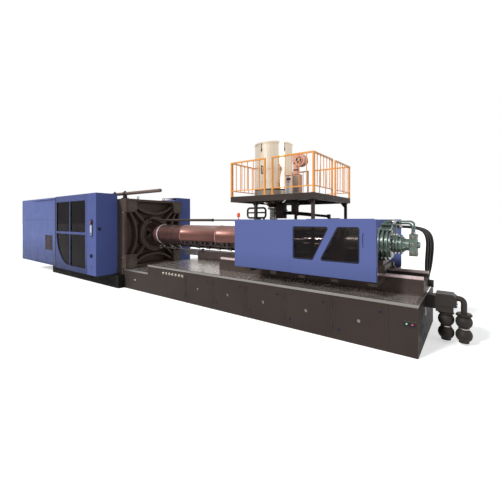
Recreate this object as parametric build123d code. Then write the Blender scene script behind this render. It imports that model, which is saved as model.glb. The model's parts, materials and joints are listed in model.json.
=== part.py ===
from build123d import *
import os
from math import atan2, degrees, hypot, radians, tan

# Large injection moulding machine, in millimetres.
# X runs from the mould face of the fixed platen towards the injection end, Y to the back, Z up from
# the floor. The clamp unit lies at negative X, the injection unit at positive X.

# Levels and the centre line of the screw
AXIS_Z = 2030.0
RUN_GAP = 0.05
SEAT_GAP = 0.3
CUT_PAST = 10.0

# Clamp bed
BED_LEFT = -3550.0
BED_RIGHT = 460.0
BED_TOP = 500.0
GIRDER_LEFT = -5600.0
GIRDER_W = 300.0
SPINE_LEFT = -8240.0
SPINE_HALF = 640.0
SPINE_W = 200.0
SPINE_TOP = 520.0
CROSS_W = 250.0
WAY_H = 30.0
WAY_W = 140.0
WAY_INSET = 120.0
WAY_END = 60.0
PLATEN_SILL = 40.0

# Platens and tie bars
PLATEN_W = 2710.0
BED_OUT = 205.0
BED_HALF = PLATEN_W / 2 + BED_OUT
PLATEN_LOW = 740.0
PLATEN_HIGH = 3420.0
PLATEN_PLATE = 240.0
FIXED_DEPTH = 600.0
PLATEN_FOOT = 180.0
FOOT_SET = 20.0
WELD_IN = 10.0
CORNER_W = 450.0
CORNER_H = 520.0
CORNER_DEPTH = 640.0
RIM_W = 90.0
RIM_SET = 60.0
BOW_R = 1500.0
BOW_DEPTH = 565.0
RIB_W = 80.0
HUB_R = 700.0
RECESS_R = 540.0
RECESS_FLOOR_R = 230.0
RECESS_FLOOR_X = 110.0
RECESS_WALL_X = 440.0
RECESS_WALL_R = 480.0
LOCATING_R = 125.0
MOULD_BOLT_R = 16.0
MOULD_BOLT_DEPTH = 80.0
MOULD_BOLT_PITCH = 1400.0
TIE_R = 130.0
TIE_INSET = 265.0
TIE_Y = PLATEN_W / 2 - TIE_INSET
TIE_DZ = 1100.0
TAIL_FRONT = -5700.0
TAIL_DEPTH = 700.0
TAIL_W = 2600.0
TIE_NUT_R = 215.0
TIE_NUT_L = 190.0
NUT_COVER_T = 22.0
NUT_COVER_HALF = 190.0
NUT_COVER_CUT = 30.0
TIE_BAR_END = 60.0
TAIL_RIB = 200.0
TAIL_RIB_W = 160.0
TAIL_BOSS = 160.0
TAIL_NUT_SEAT = 20.0
TAIL_FOOT_SET = 60.0
TAIL_FOOT_H = 210.0
MOULD_GAP = 1900.0
MOVING_DEPTH = 600.0
MOVING_BOSS = 90.0
MOVING_RIB_W = 150.0
MOVING_RIB_SET = 80.0
SHOE_HALF = 90.0
SHOE_H = 300.0
CLAMP_BORE_R = 380.0
CLAMP_WALL = 120.0
CLAMP_CYL_FRONT = -5560.0
CLAMP_CYL_REAR = -8130.0
CLAMP_CYL_END = 90.0
CLAMP_FLANGE = 90.0
RAM_REAR = -6730.0
EJECTOR_X = -2900.0
EJECTOR_T = 70.0
EJECTOR_HALF = 620.0
EJECTOR_HOLE_R = 400.0
EJECTOR_ROD_R = 30.0
EJECTOR_ROD_SET = 5.0
EJECTOR_CUT = 80.0
EJECTOR_ROD_PITCH = 1000.0
SAFETY_BAR_R = 62.0
SAFETY_CLEAR = 4.0
SAFETY_BAR_Z = 3640.0
SAFETY_BAR_TIP = 2400.0
SAFETY_STAND = (-240.0, -20.0)
SAFETY_STAND_HALF = 90.0
SAFETY_GUIDE_X = (40.0, 220.0)
SAFETY_GUIDE_HALF = 110.0
SAFETY_GUIDE_CAP = 120.0
PAWL_X = (60.0, 150.0)
PAWL_HALF = 50.0
PAWL_H = 70.0

# Clamp covers and safety doors
COVER_FACE = 2060.0
COVER_T = 20.0
COVER_BOTTOM = 520.0
COVER_TOP = 3620.0
COVER_RIGHT = -3450.0
COVER_SEAM_Z = 2600.0
COVER_SEAM = 6.0
GRILLE_X = (-5080.0, -4310.0)
GRILLE_Z = (1215.0, 1865.0)
GRILLE_BARS = 9
GRILLE_BAR_H = 26.0
GRILLE_ROUND = 20.0
ARM_W = 120.0
ARM_H = 80.0
ARM_PLACES = (-8100.0, -6650.0, -5100.0, -3950.0)
DOOR_FACE = 2184.0
DOOR_T = 60.0
DOOR_LEFT = -3550.0
DOOR_RIGHT = -663.0
DOOR_BOTTOM = 500.0
DOOR_TOP = 3614.0
DOOR_GAP = 6.0
PANE_LEFT = -3485.0
PANE_RIGHT = -825.0
PANE_BOTTOM = 705.0
PANE_TOP = 3360.0
MULLION_X = -2170.0
MULLION_Z = 2060.0
MULLION_W = 62.0
TRANSOM_W = 92.0
PANE_T = 10.0
PANE_LIP = 16.0
RAIL_H = 50.0
RAIL_DEPTH = 45.0
RAIL_INSET_Z = 30.0
RAIL_LEFT = -6520.0
RAIL_STOP = 5.0
HANGER_W = 180.0
HANGER_IN = 250.0
HANGER_H = 24.0
HANGER_REACH = 12.0
POST_T = 30.0
POST_RIGHT = 30.0
REAR_POST_RIGHT = 300.0
POST_RETURN = 20.0
POST_SEAT = 95.0
POST_ROUND = 14.0
STRIP_X = -315.0
STRIP_W = 190.0
STRIP_Z = (1936.0, 2634.0)
STRIP_T = 14.0
STOP_Z = 2490.0
STOP_R = 46.0
STOP_STEM_R = 20.0
STOP_CLEAR = 2.0
KNOB_Z = 1237.0
KNOB_R = 60.0
GLAND_R = 56.0
GLAND_Y = 2059.0
GLAND_Z = 2260.0

# Injection base
BASE_LEFT = 460.0
BASE_INSET = 35.0
BASE_HALF = PLATEN_W / 2 - BASE_INSET
BASE_TOP = 1000.0
BASE_SKIN = 30.0
STEP_RIGHT = 1980.0
STEP_TOP = 720.0
DECK_T = 40.0
BAY_LEFT = 3910.0
BAY_W = 1200.0
BAY_COUNT = 5
END_PANEL_W = 490.0
BASE_RIGHT = BAY_LEFT + BAY_COUNT * BAY_W + END_PANEL_W
BAY_BOTTOM = 70.0
BAY_TOP = 920.0
BAY_FRAME = 24.0
BAY_CLEAR = 3.0
BAY_DOOR_T = 25.0
HINGE_R = 9.0
HINGE_L = 120.0
HINGE_OUT = 5.0
HINGE_END = 123.0
PIN_R = 4.5
PIN_L = 36.0
LATCH_R = 20.0
PARTITION_T = 30.0
TRIM_T = 8.0
TRIM_DROP = 52.0
TRIM_LIP = 60.0
BENCH_LEFT = 4680.0
BENCH_HALF = 530.0
BENCH_TOP = 1340.0
BENCH_WALL = 130.0
BENCH_PLATES = (BENCH_LEFT, 6500.0, 8300.0, BASE_RIGHT - 60.0)
BENCH_PLATE_T = 60.0
BENCH_PLATE_SET = 60.0
POCKET_X = (BASE_RIGHT - 275.0, BASE_RIGHT - 15.0)
POCKET_Z = (1060.0, 1250.0)
POCKET_DEPTH = 12.0
POCKET_ROUND = 12.0
RAIL_TOP = 1400.0
RAIL_W = 90.0
RAIL_INSET = 16.0
PORT_X = (2860.0, 3820.0)
PORT_COUNT = 7
PORT_Z = 810.0
PORT_R = 24.0
PORT_L = 34.0
DISPLAY_X = (BASE_RIGHT - 255.0, BASE_RIGHT - 37.0)
DISPLAY_Z = (575.0, 675.0)
DISPLAY_T = 12.0
DUCT_X = (1300.0, 5900.0)
DUCT_INSET = 220.0
DUCT_W = 140.0
DUCT_Z = (1130.0, 1340.0)
DUCT_FOOT = 80.0
DUCT_FOOT_SET = 30.0
DUCT_FIRST = 100.0
DUCT_LAST = 200.0
DUCT_FEET = 4

# Injection guard
GUARD_LEFT = 5965.0
GUARD_SPLIT = 7745.0
GUARD_RIGHT = 9665.0
GUARD_BOTTOM = 1340.0
GUARD_TOP = 2612.0
GUARD_T = 24.0
GUARD_DOOR_T = 30.0
GUARD_RAIL_W = 40.0
GUARD_RAIL_H = 60.0
GUARD_LIP_LEFT = 380.0
GUARD_LIP_RIGHT = 60.0
GUARD_LIP_H = 12.0
WINDOW_Z = (1712.0, 2422.0)
WINDOW_1 = (7808.0, 8635.0, 8273.0)
WINDOW_2 = (8495.0, 8879.0, 9306.0)
WINDOW_ROUND = 22.0
WINDOW_LIP = 14.0
HANDLE_X = 9413.0
HANDLE_Z = 2178.0
HANDLE_H = 307.0
HANDLE_R = 410.0
HANDLE_DEPTH = 18.0
GUARD_ARM_FIRST = 6407.0
GUARD_ARM_PITCH = 792.0
GUARD_ARM_COUNT = 5
GUARD_ARM_W = 170.0
GUARD_ARM_H = 96.0
BEACON_X = 6068.0
BEACON_R = 42.0
BEACON_H = 100.0
BEACON_STEM = 80.0

# Carriage, barrel and screw
CARRIAGE_LEFT = 5950.0
CARRIAGE_RIGHT = 9640.0
SADDLE_H = 150.0
SADDLE_HALF = 520.0
SADDLE_BEAM = 120.0
SADDLE_PLATE_SET = 40.0
REAR_PLATE_X = (9380.0, 9600.0)
REAR_FOOT_X = (9420.0, 9560.0)
REAR_FOOT_HALF = 300.0
HOUSING = (6050.0, 6800.0)
HOUSING_HALF = 470.0
HOUSING_TOP = 2480.0
HOUSING_CUT = 90.0
LUG_L = 60.0
LUG_HALF = 90.0
LUG_H = 70.0
BARREL_R = 270.0
BARREL_BORE = 110.0
BARREL_LEFT = 900.0
BARREL_HEAD_R = 330.0
NOZZLE_TIP = 559.0
NOZZLE_TIP_R = 38.0
NOZZLE_BODY_R = 95.0
HEATER_R = 370.0
HEATER_LEFT = 965.0
HEATER_RIGHT = 5980.0
HEATER_COUNT = 10
HEATER_GAP = 22.0
TERMINAL_W = 150.0
TERMINAL_D = 180.0
TERMINAL_H = 80.0
SCREW_TIP = 990.0
SCREW_ROOT_R = 80.0
SCREW_TAPER_END = 1600.0
FEED_X = 6400.0
STROKE = 940.0
CYL_LEFT = 8450.0
CYL_RIGHT = 9700.0
CYL_BORE = 290.0
CYL_R = 345.0
CYL_RIB_R = 380.0
CYL_RIB_W = 46.0
CYL_RIBS = 4
CYL_HEAD = 60.0
CYL_BLOCK_X = (CYL_LEFT - 60.0, CYL_LEFT + 180.0)
CYL_BLOCK_HALF = 500.0
CYL_BLOCK_UP = 470.0
CYL_BLOCK_CUT = 120.0
CYL_PLATE_X = (CYL_LEFT - 40.0, CYL_LEFT + 260.0)
PISTON_LEFT = 8560.0
PISTON_T = 120.0
ROD_R = 210.0
ROD_LEFT = 7500.0
SLEEVE_R = 120.0
SHAFT_R = 75.0
SHAFT_GRIP = 200.0
SHANK_R = 95.0
COLUMN_R = 55.0
COLUMN_Y = 380.0
COLUMN_DZ = 330.0
MOTOR_R = 225.0
MOTOR_RIGHT = 9960.0
MOTOR_RINGS = 3
MOTOR_NECK_R = 135.0
PORT_BLOCK = (10060.0, 10220.0)
PORT_BLOCK_HALF = 95.0
PORT_BLOCK_H = 250.0
VALVE_X = (9480.0, 9830.0)
VALVE_HALF = 230.0
VALVE_Z = 2480.0
VALVE_PLATE = 36.0
VALVE_SADDLE = 150.0
DRAIN_Y = -140.0
DRAIN_TOP = 2250.0
DRAIN_PITCH = 50.0
PIPE_R = 21.0
PIPE_BEND = 90.0

# Carriage cylinders, one above the barrel to the front, one below it to the back
JACK_Y = 250.0
JACK_DZ = 560.0
JACK_R = 42.0
JACK_ROD_R = 24.0
JACK_FLANGE_R = 76.0
JACK_FLANGE_T = 40.0
JACK_HEAD_R = 50.0
JACK_HEAD_L = 60.0
JACK_UPPER_END = 4139.0
JACK_LOWER_END = 1537.0
JACK_ROD_IN = 300.0

# Service platform and drying hopper
DECK_X = (5790.0, 8290.0)
PLATFORM_INSET = 40.0
PLATFORM_HALF = BASE_HALF - PLATFORM_INSET
PLATFORM_TOP = 3240.0
PLATFORM_H = 150.0
FLOOR_PLATE = 8.0
CHANNEL_W = 60.0
POST_X = (6550.0, 8200.0)
POST_INSET = 190.0
POST_Y = BASE_HALF - POST_INSET
POST_W = 70.0
OUTRIGGER_H = 110.0
RAILING_H = 954.0
RAILING_LOW = 172.0
RAILING_W = 38.0
BALUSTER_W = 16.0
BALUSTER_PITCH = 190.0
RAILING_SPLIT = 95.0
HOPPER_R = 558.0
HOPPER_TOP = 4800.0
HOPPER_WALL = 6.0
HOPPER_BASE_H = 90.0
HOPPER_RING_OUT = 12.0
HOPPER_RING_T = 8.0
CONE_FLANGE = 40.0
CONE_FLANGE_T = 20.0
CONE_LOW_Z = 2960.0
CONE_LOW_R = 125.0
CONE_TOP_R = 545.0
OUTLET_R = 80.0
THROAT_R = 95.0
THROAT_WALL = 15.0
THROAT_FLANGE_R = 170.0
DECK_HOLE_R = 480.0
LID_R = 575.0
LID_T = 62.0
LID_EDGE = 34.0
LID_HINGE_OUT = 20.0
LID_HINGE_UP = 10.0
LID_KNUCKLE_R = 12.0
LID_KNUCKLE_HALF = 38.0
LID_PIN_R = 6.0
LID_LUG_W = 20.0
LID_LUG_H = 50.0
LID_LUG_CLEAR = 6.0
BLOWER = (7590.0, -560.0, 4164.0)
BLOWER_R = 168.0
BLOWER_D = 184.0
BLOWER_DUCT_X = 7460.0
BLOWER_DUCT_R = 80.0
SUCTION_R = 45.0
SUCTION_BEND = 110.0
SUCTION_X = 7400.0
SUCTION_Z = 2700.0
HAND_R = 34.0
HAND_Z = 2850.0
HAND_RIGHT = 8560.0
LOOP_R = 28.0
LOOP_Y = -340.0
LOOP_TOP = 2946.0
LOOP_BAR_Z = 2800.0
LOOP_INSET = 50.0
DRYER_BOX_X = (7250.0, 7680.0)
DRYER_BOX_Y = (-800.0, -640.0)
DRYER_BOX_H = 510.0

# Oil service box at the injection end, with two rubber joints
SERVICE_X = (BASE_RIGHT, BASE_RIGHT + 550.0)
SERVICE_Y = (-200.0, 150.0)
SERVICE_Z = (660.0, 1040.0)
JOINT_R = 150.0
JOINT_LOBE_H = 250.0
JOINT_NECK_R = 92.0
JOINT_1_X = BASE_RIGHT + 357.0
JOINT_2_X = BASE_RIGHT + 669.0
JOINT_TOP = 640.0

# Oil hoses from the carriage valve plate down to the deck, as (x, y, z) points of the first one
HOSE_R = 32.0
HOSE_PITCH = 78.0
HOSE_COUNT = 3
HOSE_FOOT_H = 72.0
HOSE_ROUTE = [
    (9832.0, 60.0, 2440.0), (10030.0, 60.0, 2440.0), (10225.0, 120.0, 2430.0),
    (10365.0, 265.0, 2385.0), (10425.0, 460.0, 2280.0), (10435.0, 650.0, 2110.0),
    (10420.0, 810.0, 1890.0), (10390.0, 935.0, 1640.0), (10345.0, 1020.0, 1390.0),
    (10300.0, 1060.0, 1200.0), (10300.0, 1060.0, BASE_TOP + HOSE_FOOT_H),
]


def slab(x0, x1, y0, y1, z0, z1):
    """A block given by its limits."""
    centre = Pos((x0 + x1) / 2, (y0 + y1) / 2, (z0 + z1) / 2)
    return centre * Box(x1 - x0, y1 - y0, z1 - z0)


def rod_x(x0, x1, y, z, radius):
    """A round bar along X."""
    return Pos((x0 + x1) / 2, y, z) * Rot(0, 90, 0) * Cylinder(radius, x1 - x0)


def rod_y(x, y0, y1, z, radius):
    """A round bar along Y."""
    return Pos(x, (y0 + y1) / 2, z) * Rot(90, 0, 0) * Cylinder(radius, y1 - y0)


def rod_z(x, y, z0, z1, radius):
    """A round bar along Z."""
    return Pos(x, y, (z0 + z1) / 2) * Cylinder(radius, z1 - z0)


def turned_x(points, y=0.0, z=AXIS_Z):
    """A solid turned about an axis along X from (x, radius) points."""
    outline = make_face(Polyline([(px, pr, 0) for px, pr in points], close=True))
    return Pos(0, y, z) * revolve(outline, Axis.X)


def turned_z(points, x, y):
    """A solid turned about an axis along Z from (radius, z) points."""
    outline = make_face(Polyline([(pr, 0, pz) for pr, pz in points], close=True))
    return Pos(x, y, 0) * revolve(outline, Axis.Z)


def both_sides(shape):
    """The shape and its mirror image across the centre line."""
    return [shape, mirror(shape, Plane.XZ)]


def panel(x0, x1, z0, z1, face, thickness, radius=0.0):
    """A rectangular plate in X and Z with round corners, its front on the plane Y = face."""
    upright = Plane(origin=((x0 + x1) / 2, face, (z0 + z1) / 2), x_dir=(1, 0, 0), z_dir=(0, -1, 0))
    if radius > 0:
        shape = RectangleRounded(x1 - x0, z1 - z0, radius)
    else:
        shape = Rectangle(x1 - x0, z1 - z0)
    return extrude(upright * shape, -thickness)


def pipe(points, radius, bend):
    """A round pipe along straight runs joined by bends of one radius."""
    path = FilletPolyline(*points, radius=bend)
    start = Plane(origin=path @ 0, z_dir=path % 0)
    return sweep(start * Circle(radius), path=path)


parts = {}


def clamp_bed():
    """Girders under the mould space with hardened ways, and a spine under the clamp cylinder."""
    pieces = []
    girder = slab(GIRDER_LEFT, BED_RIGHT, -BED_HALF, -BED_HALF + GIRDER_W, 0, BED_TOP)
    pieces += both_sides(girder)
    inner = BED_HALF - GIRDER_W
    pieces.append(slab(-PLATEN_SILL, BED_RIGHT, -inner, inner, 0, BED_TOP))
    pieces.append(slab(BED_LEFT, BED_LEFT + CROSS_W, -inner, inner, 0, BED_TOP))
    beam = slab(SPINE_LEFT, BED_LEFT, -SPINE_HALF, -SPINE_HALF + SPINE_W, 0, SPINE_TOP)
    pieces += both_sides(beam)
    web = SPINE_HALF - SPINE_W
    for x0 in (SPINE_LEFT, TAIL_FRONT - TAIL_DEPTH, TAIL_FRONT - CROSS_W):
        pieces.append(slab(x0, x0 + CROSS_W, -web, web, 0, SPINE_TOP))
    for x in ARM_PLACES:
        reach = COVER_FACE - COVER_T
        pieces.append(slab(x, x + ARM_W, -reach, reach, SPINE_TOP, SPINE_TOP + ARM_H))
    y0 = -BED_HALF + WAY_INSET
    way = slab(BED_LEFT + WAY_END, -WAY_END, y0, y0 + WAY_W, BED_TOP, BED_TOP + WAY_H)
    pieces += both_sides(chamfer(way.edges().filter_by(Axis.X).group_by(Axis.Z)[-1], 4))
    return pieces


def tie_places():
    return [(sy * TIE_Y, AXIS_Z + sz * TIE_DZ) for sy in (-1, 1) for sz in (-1, 1)]


def ejector_rod_places():
    half = EJECTOR_ROD_PITCH / 2
    return [(sy * half, AXIS_Z + sz * half) for sy in (-1, 1) for sz in (-1, 1)]


def rib_between(x0, x1, start, end, width):
    """A straight rib in the plane of a platen, from one (y, z) point to another."""
    dy = end[0] - start[0]
    dz = end[1] - start[1]
    middle = Pos((x0 + x1) / 2, (start[0] + end[0]) / 2, (start[1] + end[1]) / 2)
    return middle * Rot(degrees(atan2(dz, dy)), 0, 0) * Box(x1 - x0, hypot(dy, dz), width)


def bowed_rib(x0, x1, quarter):
    """A rib that bows in from one corner block to the next, as one arc of a ring."""
    ring = Rot(0, 90, 0) * (Cylinder(BOW_R, x1 - x0) - Cylinder(BOW_R - RIB_W, x1 - x0))
    ring = Pos((x0 + x1) / 2, PLATEN_W / 2 + BOW_R - BOW_DEPTH, 0) * ring
    ring = Pos(0, 0, AXIS_Z) * Rot(90 * quarter, 0, 0) * ring
    half = PLATEN_W / 2 - RIM_W / 2
    return ring & slab(x0, x1, -half, half, PLATEN_LOW + RIM_W / 2, PLATEN_HIGH - RIM_W / 2)


def mould_bolt_holes(x0, x1):
    """The four mould bolt holes of a platen, from one X to another."""
    half = MOULD_BOLT_PITCH / 2
    places = [(sy * half, AXIS_Z + sz * half) for sy in (-1, 1) for sz in (-1, 1)]
    return [rod_x(x0, x1, y, z, MOULD_BOLT_R) for y, z in places]


def fixed_platen():
    """Ribbed casting with four corner blocks and a nozzle recess."""
    half_w = PLATEN_W / 2
    low = PLATEN_LOW
    high = PLATEN_HIGH
    body = slab(0, PLATEN_PLATE, -half_w, half_w, low, high)
    rim_x = FIXED_DEPTH - RIM_SET
    rim = slab(PLATEN_PLATE, rim_x, -half_w, half_w, low, high)
    rim -= slab(PLATEN_PLATE, rim_x, -half_w + RIM_W, half_w - RIM_W, low + RIM_W, high - RIM_W)
    body += rim
    body += rod_x(PLATEN_PLATE, FIXED_DEPTH, 0, AXIS_Z, HUB_R)
    for quarter in range(4):
        body += bowed_rib(PLATEN_PLATE, rim_x, quarter)
    for y, z in tie_places():
        body += rib_between(PLATEN_PLATE, rim_x + FOOT_SET, (0, AXIS_Z), (y, z), RIB_W)
    corner_y = half_w - CORNER_W / 2
    for sy in (-1, 1):
        for z in (low + CORNER_H / 2, high - CORNER_H / 2):
            body += Pos(CORNER_DEPTH / 2, sy * corner_y, z) * Box(CORNER_DEPTH, CORNER_W, CORNER_H)
        y0 = sy * (BED_HALF - GIRDER_W) - PLATEN_FOOT / 2
        body += slab(FOOT_SET, BED_RIGHT - FOOT_SET, y0, y0 + PLATEN_FOOT, BED_TOP, low + WELD_IN)
    recess = turned_x([
        (0, 0), (0, LOCATING_R), (RECESS_FLOOR_X, LOCATING_R), (RECESS_FLOOR_X, RECESS_FLOOR_R),
        (RECESS_WALL_X, RECESS_WALL_R), (FIXED_DEPTH, RECESS_R), (CORNER_DEPTH, RECESS_R),
        (CORNER_DEPTH, 0),
    ])
    body -= recess
    for y, z in tie_places():
        body -= rod_x(-CUT_PAST, CORNER_DEPTH + CUT_PAST, y, z, TIE_R + SEAT_GAP)
    for hole in mould_bolt_holes(-CUT_PAST, MOULD_BOLT_DEPTH):
        body -= hole
    return body


def tie_bars():
    rear = TAIL_FRONT - TAIL_DEPTH - TIE_NUT_L - TIE_BAR_END
    return [rod_x(rear, CORNER_DEPTH, y, z, TIE_R) for y, z in tie_places()]


def tie_bar_nuts():
    """Ring nuts behind the tail platen and flat covers on the corner blocks."""
    pieces = []
    rear = TAIL_FRONT - TAIL_DEPTH
    half = NUT_COVER_HALF
    for y, z in tie_places():
        nut = rod_x(rear - TIE_NUT_L, rear, y, z, TIE_NUT_R)
        hole = rod_x(rear - TIE_NUT_L - CUT_PAST, rear + CUT_PAST, y, z, TIE_R + SEAT_GAP)
        pieces.append(nut - hole)
        cover_x = CORNER_DEPTH
        plate = slab(cover_x, cover_x + NUT_COVER_T, y - half, y + half, z - half, z + half)
        pieces.append(chamfer(plate.edges().filter_by(Axis.X), NUT_COVER_CUT))
    return pieces


def tail_platen():
    """Plate behind the clamp that holds the tie bars and the clamp cylinder, with ribs behind it."""
    half = TAIL_W / 2
    rear = TAIL_FRONT - TAIL_DEPTH
    plate_x = rear + TAIL_RIB
    outer = CLAMP_BORE_R + CLAMP_WALL
    low = SPINE_TOP + TAIL_FOOT_H
    body = slab(plate_x, TAIL_FRONT, -half, half, low, 2 * AXIS_Z - low)
    body += rod_x(rear, plate_x, 0, AXIS_Z, outer + TAIL_BOSS)
    for y, z in tie_places():
        body += rod_x(rear, plate_x, y, z, TIE_NUT_R + TAIL_NUT_SEAT)
        body += rib_between(rear + TAIL_RIB / 5, plate_x, (0, AXIS_Z), (y, z), TAIL_RIB_W)
        body -= rod_x(rear - CUT_PAST, TAIL_FRONT + CUT_PAST, y, z, TIE_R + SEAT_GAP)
    body -= rod_x(rear - CUT_PAST, TAIL_FRONT + CUT_PAST, 0, AXIS_Z, outer + SEAT_GAP)
    foot = TAIL_FOOT_SET
    body += slab(rear + foot, TAIL_FRONT - foot, -SPINE_HALF, SPINE_HALF, SPINE_TOP, low + WELD_IN)
    return body


def clamp_cylinder():
    outer = CLAMP_BORE_R + CLAMP_WALL
    flange = outer + CLAMP_FLANGE
    return turned_x([
        (CLAMP_CYL_REAR, 0), (CLAMP_CYL_REAR, outer), (TAIL_FRONT, outer), (TAIL_FRONT, flange),
        (CLAMP_CYL_FRONT, flange), (CLAMP_CYL_FRONT, CLAMP_BORE_R + RUN_GAP),
        (CLAMP_CYL_REAR + CLAMP_CYL_END, CLAMP_BORE_R + RUN_GAP),
        (CLAMP_CYL_REAR + CLAMP_CYL_END, 0),
    ])


def moving_platen():
    """Ribbed platen that slides on the ways and along the tie bars."""
    half_w = PLATEN_W / 2
    low = PLATEN_LOW
    high = PLATEN_HIGH
    front = -MOULD_GAP
    rear = front - MOVING_DEPTH
    plate_x = front - PLATEN_PLATE
    body = slab(plate_x, front, -half_w, half_w, low, high)
    body += rod_x(rear, plate_x, 0, AXIS_Z, CLAMP_BORE_R + MOVING_BOSS)
    for y, z in tie_places():
        body += rod_x(rear, plate_x, y, z, TIE_R + MOVING_BOSS)
        body += rib_between(rear + MOVING_RIB_SET, plate_x, (0, AXIS_Z), (y, z), MOVING_RIB_W)
    shoe_y = BED_HALF - WAY_INSET - WAY_W / 2
    sole = BED_TOP + WAY_H + SEAT_GAP
    for y in (-shoe_y, shoe_y):
        body += slab(rear, front, y - SHOE_HALF, y + SHOE_HALF, sole, sole + SHOE_H)
    for y, z in tie_places():
        body -= rod_x(rear - CUT_PAST, front + CUT_PAST, y, z, TIE_R + RUN_GAP)
    for y, z in ejector_rod_places():
        body -= rod_x(rear - CUT_PAST, front + CUT_PAST, y, z, EJECTOR_ROD_R + RUN_GAP)
    for hole in mould_bolt_holes(front - MOULD_BOLT_DEPTH, front + CUT_PAST):
        body -= hole
    return body


def clamp_ram():
    return rod_x(RAM_REAR, -MOULD_GAP - MOVING_DEPTH, 0, AXIS_Z, CLAMP_BORE_R)


def safety_bar():
    """Mechanical safety bar on the moving platen, with its stand."""
    x0 = SAFETY_STAND[0] - MOULD_GAP
    x1 = SAFETY_STAND[1] - MOULD_GAP
    half = SAFETY_STAND_HALF
    stand = slab(x0, x1, -TIE_Y - half, -TIE_Y + half, PLATEN_HIGH, SAFETY_BAR_Z + half)
    bar = rod_x(x0, SAFETY_BAR_TIP, -TIE_Y, SAFETY_BAR_Z, SAFETY_BAR_R)
    return stand + chamfer(bar.edges().sort_by(Axis.X)[-1], 8)


def safety_bar_guide():
    """Guide bracket and drop pawl of the safety bar, on top of the fixed platen."""
    x0, x1 = SAFETY_GUIDE_X
    half = SAFETY_GUIDE_HALF
    top = SAFETY_BAR_Z + SAFETY_GUIDE_CAP
    block = slab(x0, x1, -TIE_Y - half, -TIE_Y + half, PLATEN_HIGH, top)
    block -= rod_x(x0 - CUT_PAST, x1 + CUT_PAST, -TIE_Y, SAFETY_BAR_Z, SAFETY_BAR_R + SAFETY_CLEAR)
    block += slab(*PAWL_X, -TIE_Y - PAWL_HALF, -TIE_Y + PAWL_HALF, top, top + PAWL_H)
    return block


def ejector_plate():
    """Plate behind the moving platen with four rods that reach into its mould face."""
    half = EJECTOR_HALF
    x1 = EJECTOR_X + EJECTOR_T
    plate = slab(EJECTOR_X, x1, -half, half, AXIS_Z - half, AXIS_Z + half)
    plate = chamfer(plate.edges().filter_by(Axis.X), EJECTOR_CUT)
    plate -= rod_x(EJECTOR_X - CUT_PAST, x1 + CUT_PAST, 0, AXIS_Z, EJECTOR_HOLE_R)
    for y, z in ejector_rod_places():
        plate += rod_x(EJECTOR_X, -MOULD_GAP - EJECTOR_ROD_SET, y, z, EJECTOR_ROD_R)
    return plate


def side_covers():
    """The upper and the lower sheet of one side, split at the seam, with the air grille."""
    upper = panel(SPINE_LEFT, COVER_RIGHT, COVER_SEAM_Z + COVER_SEAM / 2, COVER_TOP - COVER_T,
                  -COVER_FACE, COVER_T)
    lower = panel(SPINE_LEFT, COVER_RIGHT, COVER_BOTTOM, COVER_SEAM_Z - COVER_SEAM / 2,
                  -COVER_FACE, COVER_T)
    x0, x1 = GRILLE_X
    z0, z1 = GRILLE_Z
    lower -= panel(x0, x1, z0, z1, -COVER_FACE - CUT_PAST, COVER_T + 2 * CUT_PAST, GRILLE_ROUND)
    pitch = (z1 - z0) / (GRILLE_BARS + 1)
    half = GRILLE_BAR_H / 2
    for i in range(GRILLE_BARS):
        z = z0 + (i + 1) * pitch
        lower += slab(x0 - 2, x1 + 2, -COVER_FACE, -COVER_FACE + COVER_T, z - half, z + half)
    return [upper, lower]


def clamp_covers():
    """Sheet covers round the clamp: two on each side, the roof between them and the left end."""
    pieces = []
    for sheet in side_covers():
        pieces += both_sides(sheet)
    inner = COVER_FACE - COVER_T
    under = COVER_TOP - COVER_T
    pieces.append(slab(SPINE_LEFT, COVER_RIGHT, -COVER_FACE, COVER_FACE, under, COVER_TOP))
    pieces.append(slab(SPINE_LEFT, SPINE_LEFT + COVER_T, -inner, inner, COVER_BOTTOM, under))
    return pieces


def door_rail_heights():
    """The low faces of the bottom and the top door rail."""
    return DOOR_BOTTOM + RAIL_INSET_Z, DOOR_TOP - RAIL_INSET_Z - RAIL_H


def door_rails():
    """Top and bottom door rails on both sides of the clamp."""
    pieces = []
    face = -COVER_FACE
    for z in door_rail_heights():
        rail = slab(RAIL_LEFT, POST_RIGHT - RAIL_STOP, face - RAIL_DEPTH, face, z, z + RAIL_H)
        pieces += both_sides(rail)
    return pieces


def end_cover(right):
    """A fixed post at the fixed platen: a front face, an end face at right, and returns."""
    left = DOOR_RIGHT + DOOR_GAP
    inner = PLATEN_W / 2 + SEAT_GAP
    depth = -DOOR_FACE + POST_T
    end = right - POST_T
    low = DOOR_BOTTOM + POST_RETURN
    high = DOOR_TOP - POST_RETURN
    shell = slab(left, right, -DOOR_FACE, depth, DOOR_BOTTOM, DOOR_TOP)
    shell += slab(end, right, depth, -inner, DOOR_BOTTOM, DOOR_TOP)
    shell += slab(left, end, depth, -BED_HALF + POST_SEAT, DOOR_BOTTOM, low)
    shell += slab(left, end, depth, -inner, high, DOOR_TOP)
    corner = shell.edges().filter_by(Axis.Z).sort_by(Axis.Y)[0:2].sort_by(Axis.X)[-1]
    shell = fillet(corner, POST_ROUND)
    rail_end = POST_RIGHT - RAIL_STOP
    for z in door_rail_heights():
        face = -COVER_FACE
        shell -= slab(left - CUT_PAST, rail_end, face - RAIL_DEPTH, face, z, z + RAIL_H)
    return shell


def end_covers():
    """The front post with the hole of the stop button, and the longer post at the back."""
    inside = -DOOR_FACE + POST_T
    hole = rod_y(STRIP_X, -DOOR_FACE - CUT_PAST, inside + CUT_PAST, STOP_Z, STOP_STEM_R + STOP_CLEAR)
    return [end_cover(POST_RIGHT) - hole, mirror(end_cover(REAR_POST_RIGHT), Plane.XZ)]


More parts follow.
